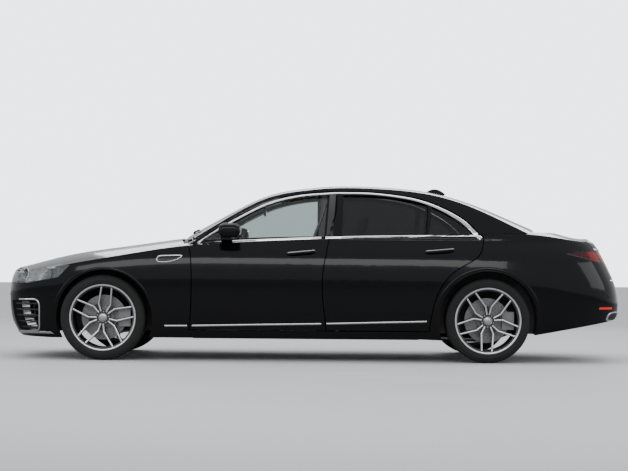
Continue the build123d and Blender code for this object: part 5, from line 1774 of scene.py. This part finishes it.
def floor_panel_details():
    """Pressed ribs along the floor panels, and the fasteners between them."""
    ribs = Shape()
    for y in RIB_YS:
        trim(ribs, [Vector((-0.950 + 0.09 * k, y, 0.0)) for k in range(22)], 0.034, 0.006,
             FLOOR_SKIN, UPWARD, step=0.09)
    ribs.make("floor_ribs", UNDERSIDE, "body", "underbody")
    studs = Shape()
    for x in steps_between(-0.900, 0.900, 6):
        for y in STUD_YS:
            hit = landed(FLOOR_SKIN, Vector((x, y, 0.0)), UPWARD)
            studs.turned(STUD, hit, -UPWARD, ALONG, steps=12)
    studs.make("floor_fasteners", PLASTIC, "body", "underbody")


def exhaust_pipes():
    """Pipes from the centre over the rear axle to the muffler, and the tailpipes."""
    pipes = Shape()
    for side, _ in SIDES:
        for line, radius in ((PIPE, 0.026), (TAILPIPE, 0.028)):
            pipes.tube(smooth_path([(x, side * y, z) for x, y, z in line], 0.03), radius, 16)
    pipes.make("exhaust_pipes", SATIN, "body", "exhaust_steel")


def propeller_shaft():
    """Two tubes, from the engine to the middle joint and on to the rear axle."""
    shaft = Shape()
    for (x_near, z_near), (x_far, z_far) in zip(SHAFT_JOINTS, SHAFT_JOINTS[1:]):
        shaft.tube([Vector((x_near, 0, z_near)), Vector((x_far, 0, z_far))], 0.024, 16)
    shaft.make("propeller_shaft", IRON, "body", "axle_metal")


floor_panel_details()
exhaust_pipes()
propeller_shaft()

# ---------------------------------------------------------------- floor, light and camera

FLOOR_HALF = 60
FLOOR_TONE = (0.50, 0.50, 0.50)
FLOOR_TONE_REFLECTED = (0.16, 0.16, 0.16)
# Strength of the pale backdrop as the camera, diffuse rays and glossy rays see it.
BACKDROP_SEEN = 3.6
BACKDROP_DIFFUSE = 1.35
BACKDROP_GLOSSY = 0.70
# Place, target, size and power of each lamp.
AREA_LIGHTS = {
    "overhead": ((0, 0, 6.0), (0, 0, 0), (9.0, 3.0), 260),
    "near_side": ((-1.0, -8.0, 3.6), (0, 0, 0.6), (9.0, 1.4), 150),
    "far_side": ((1.0, 8.0, 3.6), (0, 0, 0.6), (9.0, 1.4), 130),
    "front": ((-8.5, -3.0, 3.0), (-1.5, 0, 0.6), (4.0, 3.0), 70),
    "back": ((8.5, -2.0, 3.0), (1.5, 0, 0.6), (4.0, 3.0), 70),
}
CAMERA_PLACE = (-0.006, -15.63, 0.80)
CAMERA_LENS = 100.9
CAMERA_TILT = math.radians(90.99)
CAMERA_ROLL = math.radians(0.47)


def area_light(name, place, target, size, power):
    """A soft rectangular light that points at a target."""
    data = bpy.data.lights.new(name, "AREA")
    data.shape = "RECTANGLE"
    data.size, data.size_y = size
    data.energy = power
    light = linked(name, data)
    light.location = place
    light.rotation_euler = (Vector(target) - Vector(place)).to_track_quat("-Z", "Y").to_euler()


def pale_floor():
    """Plain floor, darker where the paint reflects it."""
    mesh = bpy.data.meshes.new("floor")
    corners = ((-1, -1), (1, -1), (1, 1), (-1, 1))
    mesh.from_pydata([(FLOOR_HALF * x, FLOOR_HALF * y, 0) for x, y in corners], [],
                     [(0, 1, 2, 3)])
    pale = finish("pale_floor", FLOOR_TONE, rough=(0.55, 0.7), mottle_scale=0.8)
    tree = pale.node_tree
    ray = tree.nodes.new("ShaderNodeLightPath")
    tone = tree.nodes.new("ShaderNodeMix")
    tone.data_type = "RGBA"
    tone.inputs["A"].default_value = (*FLOOR_TONE, 1)
    tone.inputs["B"].default_value = (*FLOOR_TONE_REFLECTED, 1)
    tree.links.new(ray.outputs["Is Glossy Ray"], tone.inputs["Factor"])
    tree.links.new(tone.outputs["Result"], tree.nodes["Principled BSDF"].inputs["Base Color"])
    mesh.materials.append(pale)
    linked("floor", mesh)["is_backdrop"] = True


def studio_world():
    """Pale backdrop whose strength depends on the kind of ray that meets it."""
    world = bpy.data.worlds.new("studio")
    bpy.context.scene.world = world
    world.use_nodes = True
    tree = world.node_tree
    backdrop = tree.nodes["Background"]
    backdrop.inputs["Color"].default_value = (0.93, 0.96, 1.0, 1)
    ray = tree.nodes.new("ShaderNodeLightPath")
    diffuse = tree.nodes.new("ShaderNodeMix")
    glossy = tree.nodes.new("ShaderNodeMix")
    diffuse.inputs["A"].default_value = BACKDROP_SEEN
    diffuse.inputs["B"].default_value = BACKDROP_DIFFUSE
    glossy.inputs["B"].default_value = BACKDROP_GLOSSY
    tree.links.new(ray.outputs["Is Diffuse Ray"], diffuse.inputs["Factor"])
    tree.links.new(ray.outputs["Is Glossy Ray"], glossy.inputs["Factor"])
    tree.links.new(diffuse.outputs["Result"], glossy.inputs["A"])
    tree.links.new(glossy.outputs["Result"], backdrop.inputs["Strength"])


pale_floor()
studio_world()
for light_name, light_values in AREA_LIGHTS.items():
    area_light(light_name, *light_values)

lens = bpy.data.cameras.new("side_camera")
lens.lens = CAMERA_LENS
lens.sensor_width = 36
camera = linked("side_camera", lens)
camera.location = CAMERA_PLACE
camera.rotation_euler = (CAMERA_TILT, 0, 0)
camera.rotation_euler.rotate_axis("Z", CAMERA_ROLL)
bpy.context.scene.camera = camera

low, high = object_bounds()
